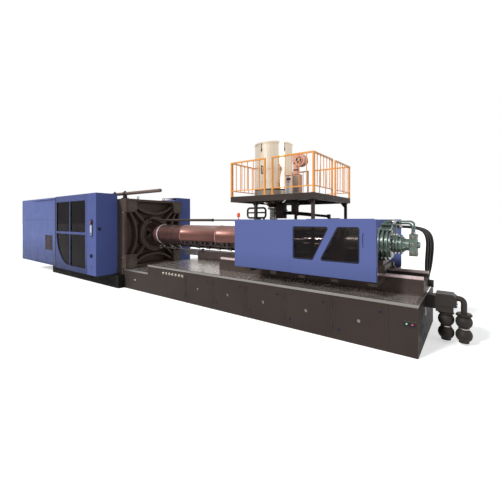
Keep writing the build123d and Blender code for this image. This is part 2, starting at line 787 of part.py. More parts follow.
def control_strip():
    """Polished strip with a collar for the stop button, and a round knob below it."""
    z0, z1 = STRIP_Z
    half = STRIP_W / 2
    strip = panel(STRIP_X - half, STRIP_X + half, z0, z1, -DOOR_FACE - STRIP_T, STRIP_T, half - 1)
    strip -= rod_y(STRIP_X, -DOOR_FACE - STRIP_T - 5, -DOOR_FACE + 5, STOP_Z, STOP_STEM_R + RUN_GAP)
    knob = rod_y(STRIP_X, -DOOR_FACE - 45, -DOOR_FACE, KNOB_Z, KNOB_R)
    knob = chamfer(knob.edges().group_by(Axis.Y)[0], 8)
    gland = rod_x(POST_RIGHT, POST_RIGHT + 26, -GLAND_Y, GLAND_Z, GLAND_R)
    gland = chamfer(gland.edges().group_by(Axis.X)[-1], 8)
    return [strip, knob, gland]


def stop_button():
    face = -DOOR_FACE - STRIP_T
    head = rod_y(STRIP_X, face - 46, face - 18, STOP_Z, STOP_R)
    head = fillet(head.edges().group_by(Axis.Y)[0], 10)
    return head + rod_y(STRIP_X, face - 20, face + STRIP_T - 1, STOP_Z, STOP_STEM_R)


def pane_outline(x0, x1, z0, z1, curved, grow):
    """A pane in X and Z, or a quarter ellipse about its upper right corner."""
    if not curved:
        return Pos((x0 + x1) / 2, (z0 + z1) / 2) * Rectangle(x1 - x0 + 2 * grow, z1 - z0 + 2 * grow)
    oval = Pos(x1, z1) * Ellipse(x1 - x0 + grow, z1 - z0 + grow)
    quarter = Pos((x0 + x1) / 2, (z0 + z1) / 2) * Rectangle(x1 - x0 + 2 * grow, z1 - z0 + 2 * grow)
    return oval & quarter


def door_panes(grow):
    """The four pane outlines of a safety door."""
    left = (PANE_LEFT, MULLION_X - MULLION_W / 2)
    right = (MULLION_X + MULLION_W / 2, PANE_RIGHT)
    low = (PANE_BOTTOM, MULLION_Z - TRANSOM_W / 2)
    high = (MULLION_Z + TRANSOM_W / 2, PANE_TOP)
    return [pane_outline(*xs, *zs, xs is left and zs is low, grow)
            for xs in (left, right) for zs in (low, high)]


def safety_door():
    """Sliding door with four window openings and a hanger at each end."""
    upright = Plane(origin=(0, -DOOR_FACE, 0), x_dir=(1, 0, 0), z_dir=(0, -1, 0))
    door = panel(DOOR_LEFT, DOOR_RIGHT, DOOR_BOTTOM, DOOR_TOP, -DOOR_FACE, DOOR_T)
    door = fillet(door.edges().filter_by(Axis.Z).group_by(Axis.Y)[0], 10)
    back = Plane(origin=(0, -DOOR_FACE + DOOR_T, 0), x_dir=(1, 0, 0), z_dir=(0, -1, 0))
    for outline in door_panes(0):
        door -= extrude(upright * outline, -DOOR_T)
    for outline in door_panes(PANE_LIP):
        door -= extrude(back * outline, DOOR_T / 2)
    top = DOOR_TOP - RAIL_INSET_Z
    for x in (DOOR_LEFT + HANGER_IN, DOOR_RIGHT - HANGER_IN):
        door += slab(x - HANGER_W / 2, x + HANGER_W / 2, -DOOR_FACE + DOOR_T - 2,
                     -COVER_FACE - HANGER_REACH, top + SEAT_GAP, top + HANGER_H)
    return door


def safety_door_panes():
    pane_face = -DOOR_FACE + DOOR_T / 2
    plane = Plane(origin=(0, pane_face, 0), x_dir=(1, 0, 0), z_dir=(0, -1, 0))
    return [extrude(plane * outline, -PANE_T) for outline in door_panes(PANE_LIP - 1)]


def bay_edges():
    return [(BAY_LEFT + i * BAY_W, BAY_LEFT + (i + 1) * BAY_W) for i in range(BAY_COUNT)]


def base_frame():
    """Floor, back, end walls and partitions of the injection base, as separate plates."""
    inner = BASE_HALF - BASE_SKIN
    under_deck = BASE_TOP - DECK_T
    under_step = STEP_TOP - DECK_T
    t = PARTITION_T
    pieces = [slab(BASE_LEFT, BASE_RIGHT, -inner, inner, 0, 40)]
    pieces.append(slab(STEP_RIGHT, BASE_RIGHT, inner, BASE_HALF, 0, under_deck))
    pieces.append(slab(BASE_LEFT, STEP_RIGHT, inner, BASE_HALF, 0, under_step))
    pieces.append(slab(BASE_RIGHT - t, BASE_RIGHT, -inner, inner, 40, under_deck))
    pieces.append(slab(BASE_LEFT, BASE_LEFT + t, -inner, inner, 40, under_step))
    pieces.append(slab(STEP_RIGHT, STEP_RIGHT + t, -inner, inner, 40, under_deck))
    for i in range(BAY_COUNT + 1):
        x = BAY_LEFT + i * BAY_W
        pieces.append(slab(x - t / 2, x + t / 2, -inner, inner, 40, under_deck))
    return pieces


def hinge_axis(x0):
    """The (x, y) place of the hinge of the bay that starts at x0."""
    return x0 + BAY_FRAME + BAY_CLEAR + HINGE_R, -BASE_HALF - HINGE_OUT


def hinge_heights():
    """The low ends of the two hinge knuckles of a cabinet door."""
    return BAY_BOTTOM + HINGE_END, BAY_TOP - HINGE_END - HINGE_L


def base_front():
    """Front skin in strips and pillars round the door openings, with the fixed hinge pins."""
    low_top = STEP_TOP - DECK_T
    high_top = BASE_TOP - DECK_T
    back = -BASE_HALF + BASE_SKIN
    bays_right = BAY_LEFT + BAY_COUNT * BAY_W
    pieces = [
        slab(BASE_LEFT, STEP_RIGHT, -BASE_HALF, back, 0, low_top),
        slab(STEP_RIGHT, BAY_LEFT + BAY_FRAME, -BASE_HALF, back, 0, high_top),
        slab(BAY_LEFT + BAY_FRAME, bays_right - BAY_FRAME, -BASE_HALF, back, 0, BAY_BOTTOM),
        slab(BAY_LEFT + BAY_FRAME, bays_right - BAY_FRAME, -BASE_HALF, back, BAY_TOP, high_top),
        slab(bays_right - BAY_FRAME, BASE_RIGHT, -BASE_HALF, back, 0, high_top),
    ]
    for x0, x1 in bay_edges()[:-1]:
        pieces.append(slab(x1 - BAY_FRAME, x1 + BAY_FRAME, -BASE_HALF, back, BAY_BOTTOM, BAY_TOP))
    for x0, x1 in bay_edges():
        x, y = hinge_axis(x0)
        for z in hinge_heights():
            foot = z + HINGE_L + SEAT_GAP
            pin = slab(x0 + HINGE_R, x, y, -BASE_HALF, foot, foot + PIN_L)
            pieces.append(pin + rod_z(x, y, foot, foot + PIN_L, PIN_R))
    return pieces


def base_deck():
    pieces = [slab(STEP_RIGHT, BASE_RIGHT, -BASE_HALF, BASE_HALF, BASE_TOP - DECK_T, BASE_TOP)]
    pieces.append(slab(BASE_LEFT, STEP_RIGHT, -BASE_HALF, BASE_HALF, STEP_TOP - DECK_T, STEP_TOP))
    return pieces


def trim_strip(x0, x1, top):
    """An angle strip over the front edge of the deck."""
    face = -BASE_HALF
    section = make_face(Polyline([
        (face - TRIM_T, top - TRIM_DROP), (face, top - TRIM_DROP), (face, top),
        (face + TRIM_LIP, top), (face + TRIM_LIP, top + TRIM_T), (face - TRIM_T, top + TRIM_T),
    ], close=True))
    across = Plane(origin=(x0, 0, 0), x_dir=(0, 1, 0), z_dir=(1, 0, 0))
    return extrude(across * section, x1 - x0)


def edge_trim():
    pieces = both_sides(trim_strip(STEP_RIGHT, BASE_RIGHT, BASE_TOP))
    pieces += both_sides(trim_strip(BASE_LEFT, STEP_RIGHT, STEP_TOP))
    inner = BASE_HALF - TRIM_LIP
    pieces.append(slab(BASE_RIGHT - TRIM_LIP, BASE_RIGHT, -inner, -BENCH_HALF, BASE_TOP, BASE_TOP + TRIM_T))
    pieces.append(slab(BASE_RIGHT - TRIM_LIP, BASE_RIGHT, BENCH_HALF, inner, BASE_TOP, BASE_TOP + TRIM_T))
    return pieces


def guard_arms(back):
    """Five arms from the side of the bench out to the guard."""
    arms = []
    for i in range(GUARD_ARM_COUNT):
        x = GUARD_ARM_FIRST + i * GUARD_ARM_PITCH
        low = GUARD_BOTTOM - GUARD_ARM_H
        arm = slab(x - GUARD_ARM_W / 2, x + GUARD_ARM_W / 2, back, -BENCH_HALF, low, GUARD_BOTTOM)
        arms.append(arm)
    return arms


def bench():
    """Two raised girders that carry the guide rails, with cross plates and the guard's arms."""
    wall = slab(BENCH_LEFT, BASE_RIGHT, -BENCH_HALF, -BENCH_HALF + BENCH_WALL, BASE_TOP, BENCH_TOP)
    pocket = panel(*POCKET_X, *POCKET_Z, -BENCH_HALF - CUT_PAST, CUT_PAST + POCKET_DEPTH, POCKET_ROUND)
    pieces = [wall - pocket, mirror(wall, Plane.XZ)]
    inner = BENCH_HALF - BENCH_WALL
    for x in BENCH_PLATES:
        pieces.append(slab(x, x + BENCH_PLATE_T, -inner, inner, BASE_TOP, BENCH_TOP - BENCH_PLATE_SET))
    for arm in guard_arms(-BASE_HALF + GUARD_T):
        pieces += both_sides(arm)
    return pieces


def guide_rails():
    y0 = -BENCH_HALF + RAIL_INSET
    rail = slab(BENCH_LEFT + 40, BASE_RIGHT - 10, y0, y0 + RAIL_W, BENCH_TOP, RAIL_TOP)
    rail = chamfer(rail.edges().filter_by(Axis.X).group_by(Axis.Z)[-1], 6)
    return both_sides(rail)


def service_fittings():
    """A row of oil and water ports and the lamp panel at the right end."""
    x0, x1 = PORT_X
    pieces = []
    for i in range(PORT_COUNT):
        x = x0 + (x1 - x0) * i / (PORT_COUNT - 1)
        port = rod_y(x, -BASE_HALF - PORT_L, -BASE_HALF, PORT_Z, PORT_R)
        port += rod_y(x, -BASE_HALF - 10, -BASE_HALF, PORT_Z, PORT_R + 12)
        pieces.append(port)
    dx0, dx1 = DISPLAY_X
    dz0, dz1 = DISPLAY_Z
    pieces.append(panel(dx0, dx1, dz0, dz1, -BASE_HALF - DISPLAY_T, DISPLAY_T, 10))
    return pieces


def cable_duct():
    """Closed cable duct along the back of the deck, on feet."""
    x0, x1 = DUCT_X
    y1 = BASE_HALF - DUCT_INSET
    y0 = y1 - DUCT_W
    z0, z1 = DUCT_Z
    body = slab(x0, x1, y0, y1, z0, z1)
    first = STEP_RIGHT + DUCT_FIRST
    pitch = (x1 - DUCT_LAST - first) / (DUCT_FEET - 1)
    inset = DUCT_FOOT_SET
    for i in range(DUCT_FEET):
        x = first + i * pitch
        body += slab(x, x + DUCT_FOOT, y0 + inset, y1 - inset, BASE_TOP, z0 + WELD_IN)
    return body


def cabinet_door(index):
    """One cabinet door with the knuckles of its hinge on the left edge."""
    x0, x1 = bay_edges()[index]
    low = BAY_BOTTOM + BAY_CLEAR
    high = BAY_TOP - BAY_CLEAR
    edge = BAY_FRAME + BAY_CLEAR
    door = panel(x0 + edge, x1 - edge, low, high, -BASE_HALF, BAY_DOOR_T)
    x, y = hinge_axis(x0)
    for z in hinge_heights():
        door += rod_z(x, y, z, z + HINGE_L, HINGE_R)
    latch = rod_y((x0 + x1) / 2, -BASE_HALF - 14, -BASE_HALF + 2, (low + high) / 2, LATCH_R)
    return door + latch


def guard_panels():
    """Fixed front guard with the rails of the sliding guard, and the plain back guard."""
    face = -BASE_HALF + BAY_CLEAR
    back = face + GUARD_T
    body = slab(GUARD_LEFT, GUARD_SPLIT, face, back, GUARD_BOTTOM, GUARD_TOP)
    body = fillet(body.edges().filter_by(Axis.Z).group_by(Axis.Y)[0].sort_by(Axis.X)[0], 8)
    for z0 in (GUARD_BOTTOM, GUARD_TOP - GUARD_RAIL_H):
        body += slab(GUARD_LEFT, GUARD_RIGHT, back, back + GUARD_RAIL_W, z0, z0 + GUARD_RAIL_H)
    for x in (GUARD_LEFT, GUARD_RIGHT - GUARD_RAIL_W):
        body += slab(x, x + GUARD_RAIL_W, back, back + GUARD_RAIL_W, GUARD_BOTTOM, GUARD_TOP)
    sheet = slab(GUARD_LEFT, GUARD_RIGHT, BASE_HALF - GUARD_T, BASE_HALF, GUARD_BOTTOM, GUARD_TOP)
    return [body, sheet]


def guard_windows():
    """The two window outlines of the sliding guard: each has one slanted side."""
    z0, z1 = WINDOW_Z
    x0, x_high, x_low = WINDOW_1
    first = Polyline([(x0, z0), (x_low, z0), (x_high, z1), (x0, z1)], close=True)
    x_low, x_high, x1 = WINDOW_2
    second = Polyline([(x_low, z0), (x1, z0), (x1, z1), (x_high, z1)], close=True)
    outlines = []
    for outline in (first, second):
        shape = make_face(outline)
        outlines.append(fillet(shape.vertices(), WINDOW_ROUND))
    return outlines


def guard_door():
    """Sliding guard with two slanted windows and a lens-shaped finger recess."""
    face = -BASE_HALF - GUARD_DOOR_T
    door = slab(GUARD_SPLIT, GUARD_RIGHT, face, -BASE_HALF, GUARD_BOTTOM, GUARD_TOP)
    door = fillet(door.edges().filter_by(Axis.Z).group_by(Axis.Y)[0], 8)
    front = Plane(origin=(0, face, 0), x_dir=(1, 0, 0), z_dir=(0, -1, 0))
    back = Plane(origin=(0, -BASE_HALF, 0), x_dir=(1, 0, 0), z_dir=(0, -1, 0))
    for outline in guard_windows():
        door -= extrude(front * outline, -GUARD_DOOR_T)
        door -= extrude(back * offset(outline, WINDOW_LIP), GUARD_DOOR_T / 2)
    shift = (HANDLE_R ** 2 - (HANDLE_H / 2) ** 2) ** 0.5
    lens = Pos(HANDLE_X - shift, HANDLE_Z) * Circle(HANDLE_R)
    lens &= Pos(HANDLE_X + shift, HANDLE_Z) * Circle(HANDLE_R)
    door -= extrude(front * lens, -HANDLE_DEPTH)
    reach = -BASE_HALF + BAY_CLEAR + GUARD_T + GUARD_RAIL_W - 5
    x0 = GUARD_SPLIT + GUARD_LIP_LEFT
    x1 = GUARD_RIGHT - GUARD_LIP_RIGHT
    lip_top = GUARD_TOP + GUARD_LIP_H
    door += slab(x0, x1, face + WELD_IN, reach, GUARD_TOP + SEAT_GAP, lip_top)
    door += slab(x0, x1, face + WELD_IN, -BASE_HALF, GUARD_TOP - WELD_IN, lip_top)
    return door


def guard_door_panes():
    plane = Plane(origin=(0, -BASE_HALF - GUARD_DOOR_T / 2, 0), x_dir=(1, 0, 0), z_dir=(0, -1, 0))
    return [extrude(plane * offset(outline, WINDOW_LIP - 1), -PANE_T) for outline in guard_windows()]


def beacon():
    """Signal lamp on a short stem over the left end of the guard."""
    y = -BASE_HALF + BAY_CLEAR + GUARD_T + GUARD_RAIL_W / 2
    base = GUARD_TOP + BEACON_STEM
    lamp = turned_z([
        (0, base), (BEACON_R, base), (BEACON_R, base + BEACON_H - 25), (BEACON_R - 16, base + BEACON_H),
        (0, base + BEACON_H),
    ], BEACON_X, y)
    stem = rod_z(BEACON_X, y, GUARD_TOP, base, 14)
    return [stem + rod_z(BEACON_X, y, GUARD_TOP, GUARD_TOP + 10, 30), lamp]


def jack_places():
    """The (y, z, right end) of the carriage cylinders: front one above the barrel, back one below."""
    return [(-JACK_Y, AXIS_Z + JACK_DZ, JACK_UPPER_END), (JACK_Y, AXIS_Z - JACK_DZ, JACK_LOWER_END)]


def carriage_cylinders():
    """Two carriage cylinders bolted to the hub of the fixed platen."""
    pieces = []
    left = FIXED_DEPTH
    for y, z, end in jack_places():
        body = rod_x(left, end, y, z, JACK_R)
        body += rod_x(left, left + JACK_FLANGE_T, y, z, JACK_FLANGE_R)
        body += rod_x(end - JACK_HEAD_L, end, y, z, JACK_HEAD_R)
        pieces.append(body - rod_x(left + JACK_HEAD_L, end + CUT_PAST, y, z, JACK_ROD_R + RUN_GAP))
    return pieces


def carriage_rods():
    rods = []
    for y, z, end in jack_places():
        rods.append(rod_x(end - JACK_ROD_IN, HOUSING[0] - LUG_L, y, z, JACK_ROD_R))
    return rods


def carriage_frame():
    """Saddle on the guide rails, cylinder block, rear foot, columns and outriggers."""
    low = RAIL_TOP + SEAT_GAP
    top = RAIL_TOP + SADDLE_H
    plate_low = low + SADDLE_PLATE_SET
    beam = slab(CARRIAGE_LEFT, CARRIAGE_RIGHT, -SADDLE_HALF, -SADDLE_HALF + SADDLE_BEAM, low, top)
    pieces = both_sides(beam)
    inner = SADDLE_HALF - SADDLE_BEAM
    for x0, x1 in (HOUSING, CYL_PLATE_X, REAR_PLATE_X):
        pieces.append(slab(x0, x1, -inner, inner, plate_low, top))
    x0, x1 = CYL_BLOCK_X
    block = slab(x0, x1, -CYL_BLOCK_HALF, CYL_BLOCK_HALF, top, AXIS_Z + CYL_BLOCK_UP)
    block = chamfer(block.edges().filter_by(Axis.X).group_by(Axis.Z)[-1], CYL_BLOCK_CUT)
    pieces.append(block - rod_x(x0 - CUT_PAST, x1 + CUT_PAST, 0, AXIS_Z, CYL_R + SEAT_GAP))
    foot = REAR_FOOT_HALF
    pieces.append(slab(*REAR_FOOT_X, -foot, foot, top, AXIS_Z - CYL_RIB_R))
    for sy in (-1, 1):
        for sz in (-1, 1):
            y = sy * COLUMN_Y
            z = AXIS_Z + sz * COLUMN_DZ
            pieces.append(rod_x(HOUSING[1], x0, y, z, COLUMN_R))
    half = POST_W / 2
    height = top + OUTRIGGER_H
    for x in POST_X:
        if x < HOUSING[1]:
            beam = slab(x - half, x + half, -POST_Y - half, -HOUSING_HALF, top, height)
            pieces += both_sides(beam)
        else:
            pieces.append(slab(x - half, x + half, -POST_Y - half, POST_Y + half, top, height))
    return pieces


def barrel_housing():
    """Block that holds the barrel, with the feed hole and the lugs of the carriage rods."""
    x0, x1 = HOUSING
    low = RAIL_TOP + SADDLE_H
    housing = slab(x0, x1, -HOUSING_HALF, HOUSING_HALF, low, HOUSING_TOP)
    housing = chamfer(housing.edges().filter_by(Axis.X).group_by(Axis.Z)[-1], HOUSING_CUT)
    housing -= rod_x(x0 - CUT_PAST, x1 + CUT_PAST, 0, AXIS_Z, BARREL_R + SEAT_GAP)
    housing -= rod_z(FEED_X, 0, AXIS_Z, HOUSING_TOP + CUT_PAST, THROAT_R)
    left = x0 - LUG_L
    for y, z, end in jack_places():
        foot = min(z - LUG_H, HOUSING_TOP - HOUSING_CUT)
        housing += slab(left, x0, y - LUG_HALF, y + LUG_HALF, foot, z + LUG_H)
    return housing


def barrel():
    """Barrel tube with its head, the screw bore and the feed opening."""
    x1 = HOUSING[1] + 20
    tube = turned_x([
        (BARREL_LEFT, BARREL_BORE), (BARREL_LEFT, BARREL_HEAD_R), (BARREL_LEFT + 60, BARREL_HEAD_R),
        (BARREL_LEFT + 60, BARREL_R), (x1, BARREL_R), (x1, BARREL_BORE),
    ])
    return tube - rod_z(FEED_X, 0, AXIS_Z, AXIS_Z + BARREL_R + 5, OUTLET_R)


def nozzle():
    """Nozzle with a tapered head flange and a drilled flow channel."""
    return turned_x([
        (NOZZLE_TIP, 8), (NOZZLE_TIP, NOZZLE_TIP_R - 12), (NOZZLE_TIP + 12, NOZZLE_TIP_R),
        (NOZZLE_TIP + 110, NOZZLE_BODY_R), (NOZZLE_TIP + 170, NOZZLE_BODY_R + 45),
        (BARREL_LEFT - 70, BARREL_HEAD_R - 50), (BARREL_LEFT - 50, BARREL_HEAD_R),
        (BARREL_LEFT, BARREL_HEAD_R), (BARREL_LEFT, BARREL_BORE), (BARREL_LEFT - 60, 40),
        (NOZZLE_TIP + 150, 20), (NOZZLE_TIP + 60, 8),
    ])


def heater_bands():
    """Heater bands round the barrel, each with its terminal box underneath."""
    width = (HEATER_RIGHT - HEATER_LEFT + HEATER_GAP) / HEATER_COUNT - HEATER_GAP
    pieces = []
    for i in range(HEATER_COUNT):
        x = HEATER_LEFT + i * (width + HEATER_GAP)
        band = turned_x([
            (x, BARREL_R + SEAT_GAP), (x, HEATER_R - 12), (x + 12, HEATER_R), (x + width - 12, HEATER_R),
            (x + width, HEATER_R - 12), (x + width, BARREL_R + SEAT_GAP),
        ])
        middle = x + width / 2
        low = AXIS_Z - HEATER_R - TERMINAL_H
        box = slab(middle - TERMINAL_W / 2, middle + TERMINAL_W / 2, -TERMINAL_D / 2, TERMINAL_D / 2,
                   low, AXIS_Z - HEATER_R + 30)
        pieces.append(band + box)
    return pieces


def screw():
    """Screw with a pointed tip, check ring, tapered root, shank and drive sleeve."""
    sleeve_end = PISTON_LEFT + PISTON_T
    land = BARREL_BORE - RUN_GAP
    pocket = sleeve_end - SHAFT_GRIP - STROKE - 20
    return turned_x([
        (SCREW_TIP, 0), (SCREW_TIP + 160, 70), (SCREW_TIP + 170, 62), (SCREW_TIP + 230, 62),
        (SCREW_TIP + 230, land), (SCREW_TIP + 330, land), (SCREW_TIP + 330, SCREW_ROOT_R + 10),
        (FEED_X - SCREW_TAPER_END, SCREW_ROOT_R), (FEED_X + 200, SCREW_ROOT_R - 12), (FEED_X + 200, land),
        (FEED_X + 330, land), (FEED_X + 330, SHANK_R), (ROD_LEFT, SHANK_R), (ROD_LEFT, SLEEVE_R),
        (sleeve_end, SLEEVE_R), (sleeve_end, SHAFT_R), (pocket, SHAFT_R), (pocket, 0),
    ])


def injection_piston():
    """Hollow rod and piston that push the screw."""
    rear = PISTON_LEFT + PISTON_T
    bore = SLEEVE_R + RUN_GAP
    return turned_x([
        (ROD_LEFT, bore), (ROD_LEFT, ROD_R), (PISTON_LEFT, ROD_R), (PISTON_LEFT, CYL_BORE - RUN_GAP),
        (rear, CYL_BORE - RUN_GAP), (rear, bore),
    ])


def drive_shaft():
    left = PISTON_LEFT + PISTON_T - SHAFT_GRIP
    return rod_x(left, CYL_RIGHT + 60, 0, AXIS_Z, SHAFT_R - RUN_GAP)


def injection_cylinder():
    """Ribbed cylinder barrel with a front head and a rear cover."""
    inner = CYL_BORE
    outline = [(CYL_LEFT, ROD_R + RUN_GAP), (CYL_LEFT, CYL_R)]
    first = CYL_RIGHT - CYL_RIBS * 2 * CYL_RIB_W
    for i in range(CYL_RIBS):
        x = first + i * 2 * CYL_RIB_W
        outline += [(x, CYL_R - 26), (x, CYL_RIB_R - 10), (x + 10, CYL_RIB_R)]
        outline += [(x + CYL_RIB_W - 10, CYL_RIB_R), (x + CYL_RIB_W, CYL_RIB_R - 10)]
        outline += [(x + CYL_RIB_W, CYL_R - 26)]
    outline.insert(2, (first - 60, CYL_R))
    rear = CYL_RIGHT - CYL_HEAD
    outline += [(CYL_RIGHT, CYL_R - 26), (CYL_RIGHT, SHAFT_R + 0.2), (rear, SHAFT_R + 0.2), (rear, inner)]
    outline += [(CYL_LEFT + CYL_HEAD, inner), (CYL_LEFT + CYL_HEAD, ROD_R + RUN_GAP)]
    return turned_x(outline)


def hydraulic_motor():
    """Ring-stack motor with a neck and a port block at its end."""
    x = CYL_RIGHT
    ring = (MOTOR_RIGHT - x) / (MOTOR_RINGS * 2 + 1)
    bore = SHAFT_R
    outline = [(x, bore), (x, MOTOR_R - 40)]
    for i in range(MOTOR_RINGS):
        a = x + ring * (2 * i + 1)
        outline += [(a, MOTOR_R - 40), (a + 8, MOTOR_R), (a + ring - 8, MOTOR_R), (a + ring, MOTOR_R - 40)]
    outline += [(MOTOR_RIGHT, MOTOR_R - 60), (MOTOR_RIGHT, MOTOR_NECK_R), (PORT_BLOCK[0], MOTOR_NECK_R)]
    outline += [(PORT_BLOCK[0], 0), (x + 60.2, 0), (x + 60.2, bore)]
    body = turned_x(outline)
    half = PORT_BLOCK_HALF
    block = slab(*PORT_BLOCK, -half, half, AXIS_Z - PORT_BLOCK_H, AXIS_Z + PORT_BLOCK_H)
    body += chamfer(block.edges().filter_by(Axis.X), 22)
    body += rod_x(PORT_BLOCK[1] - 2, PORT_BLOCK[1] + 50, 0, AXIS_Z, 70)
    drain_x = VALVE_X[1] - PIPE_R - 4 - DRAIN_PITCH / 2
    body += slab(drain_x - 60, drain_x + 60, DRAIN_Y - 35, DRAIN_Y + 35, AXIS_Z + 60, DRAIN_TOP)
    return body


def valve_manifold():
    """Valve plate on a saddle over the cylinder, with a valve block and steel pipes."""
    x0, x1 = VALVE_X
    top = VALVE_Z + VALVE_PLATE
    plate = slab(x0, x1, -VALVE_HALF, VALVE_HALF, VALVE_Z, top)
    plate += slab(x0 + 110, x0 + 240, -70, 70, top, top + 90)
    plate += slab(x0 + 60, x0 + 130, -170, -100, top, top + 50)
    saddle = slab(x0, CYL_RIGHT, -VALVE_SADDLE, VALVE_SADDLE, AXIS_Z + CYL_R, VALVE_Z + 5)
    plate += saddle - rod_x(x0 - 5, CYL_RIGHT + 5, 0, AXIS_Z, CYL_RIB_R + SEAT_GAP)
    pipes = []
    block_top = AXIS_Z + PORT_BLOCK_H
    for i, y in enumerate((-62, -5)):
        x_end = sum(PORT_BLOCK) / 2 + 24 - 50 * i
        z_run = top + 50 - 52 * i
        pipes.append(pipe([(x0 + 240, y, z_run), (x_end, y, z_run), (x_end, y, block_top)],
                          PIPE_R, PIPE_BEND))
    for i in range(2):
        x = x1 - PIPE_R - 4 - i * DRAIN_PITCH
        pipes.append(rod_z(x, DRAIN_Y, DRAIN_TOP, VALVE_Z, PIPE_R))
    return [plate] + pipes


def feed_throat():
    """Cooled column between the barrel housing and the hopper outlet."""
    return turned_z([
        (OUTLET_R, HOUSING_TOP), (THROAT_FLANGE_R, HOUSING_TOP), (THROAT_FLANGE_R, HOUSING_TOP + 30),
        (THROAT_R + THROAT_WALL, HOUSING_TOP + 40), (THROAT_R + THROAT_WALL, CONE_LOW_Z - 60),
        (THROAT_FLANGE_R, CONE_LOW_Z - 40), (THROAT_FLANGE_R, CONE_LOW_Z), (OUTLET_R, CONE_LOW_Z),
    ], FEED_X, 0)


def lid_hinge_place():
    """The (y, z) of the lid's hinge pin, behind the lid."""
    return LID_R + LID_HINGE_OUT, HOPPER_TOP + LID_HINGE_UP


def hopper_hinge():
    """Two lugs on the hopper's rim, each with a pin that reaches into the lid's knuckle."""
    y, z = lid_hinge_place()
    r = LID_KNUCKLE_R
    inner = LID_KNUCKLE_HALF + SEAT_GAP
    lugs = []
    for side in (-1, 1):
        x0, x1 = sorted((FEED_X + side * inner, FEED_X + side * (inner + LID_LUG_W)))
        lug = slab(x0, x1, HOPPER_R - LID_LUG_CLEAR, y + r, HOPPER_TOP - LID_LUG_H, HOPPER_TOP - 2)
        lug += slab(x0, x1, LID_R + LID_LUG_CLEAR, y + r, HOPPER_TOP - LID_LUG_H, z + r)
        grip = FEED_X + side * LID_KNUCKLE_HALF / 3
        lugs.append(lug + rod_x(*sorted((grip, FEED_X + side * (inner + 1))), y, z, LID_PIN_R))
    return lugs


def hopper():
    """Sheet steel hopper: a cone with its outlet flange, the drum with the lid's lugs, the skirt."""
    ring_top = PLATFORM_TOP + HOPPER_BASE_H
    ring = HOPPER_R + HOPPER_RING_OUT
    t = HOPPER_RING_T
    w = HOPPER_WALL
    flange = CONE_LOW_R + CONE_FLANGE
    cone = turned_z([
        (OUTLET_R, CONE_LOW_Z), (flange, CONE_LOW_Z), (flange, CONE_LOW_Z + CONE_FLANGE_T),
        (CONE_LOW_R, CONE_LOW_Z + CONE_FLANGE_T), (CONE_TOP_R, ring_top), (ring, ring_top),
        (ring, ring_top + t), (CONE_TOP_R - w, ring_top + t),
        (CONE_LOW_R - 2 * w, CONE_LOW_Z + CONE_FLANGE_T + 2 * w), (OUTLET_R, CONE_LOW_Z + CONE_FLANGE_T),
    ], FEED_X, 0)
    drum = turned_z([
        (HOPPER_R - w, ring_top + t), (ring, ring_top + t), (ring, ring_top + 2 * t),
        (HOPPER_R, ring_top + 2 * t), (HOPPER_R, HOPPER_TOP), (HOPPER_R - w, HOPPER_TOP),
    ], FEED_X, 0)
    for lug in hopper_hinge():
        drum += lug
    skirt = turned_z([
        (HOPPER_R + w, PLATFORM_TOP), (HOPPER_R + w, ring_top), (HOPPER_R - w, ring_top),
        (HOPPER_R - w, PLATFORM_TOP),
    ], FEED_X, 0)
    return [cone, drum, skirt]


def hopper_lid():
    """Domed lid with a rolled edge and a hinge knuckle at the back."""
    z = HOPPER_TOP + SEAT_GAP
    lid = turned_z([
        (0, z), (LID_R, z), (LID_R, z + LID_EDGE), (LID_R - 14, z + LID_EDGE + 6),
        (LID_R - 180, z + LID_T - 6), (0, z + LID_T),
    ], FEED_X, 0)
    y, pin_z = lid_hinge_place()
    x0 = FEED_X - LID_KNUCKLE_HALF
    x1 = FEED_X + LID_KNUCKLE_HALF
    tongue = slab(x0, x1, LID_R - LID_HINGE_OUT, y, pin_z - LID_PIN_R, pin_z + LID_PIN_R)
    lid += tongue + rod_x(x0, x1, y, pin_z, LID_KNUCKLE_R)
    return lid - rod_x(x0 - CUT_PAST, x1 + CUT_PAST, y, pin_z, LID_PIN_R + RUN_GAP)


def railing_panel(length):
    """One railing panel along X from 0, standing on Z = 0, centred on Y = 0."""
    w = RAILING_W
    b = BALUSTER_W
    body = slab(0, w, -w / 2, w / 2, 0, RAILING_H)
    body += slab(length - w, length, -w / 2, w / 2, 0, RAILING_H)
    body += slab(0, length, -w / 2, w / 2, RAILING_H - w, RAILING_H)
    body += slab(0, length, -b / 2, b / 2, RAILING_LOW - 24, RAILING_LOW)
    count = max(1, round(length / BALUSTER_PITCH) - 1)
    step = length / (count + 1)
    for i in range(count):
        x = (i + 1) * step
        body += slab(x - b / 2, x + b / 2, -b / 2, b / 2, RAILING_LOW - 12, RAILING_H - w / 2)
    return body


def guard_rails():
    """Eight railing panels, two along each side of the platform."""
    x0, x1 = DECK_X
    edge = RAILING_W / 2
    middle = (x0 + x1) / 2
    half_x = (x1 - x0) / 2
    pieces = []
    long_panel = half_x - RAILING_SPLIT
    for y in (-PLATFORM_HALF + edge, PLATFORM_HALF - edge):
        pieces.append(Pos(x0, y, PLATFORM_TOP) * railing_panel(long_panel))
        pieces.append(Pos(middle + RAILING_SPLIT, y, PLATFORM_TOP) * railing_panel(long_panel))
    side_panel = PLATFORM_HALF - RAILING_SPLIT - RAILING_W
    for x in (x0 + edge, x1 - edge):
        for y in (-PLATFORM_HALF + RAILING_W, RAILING_SPLIT):
            place = Pos(x, y, PLATFORM_TOP) * Rot(0, 0, 90)
            pieces.append(place * railing_panel(side_panel))
    return pieces


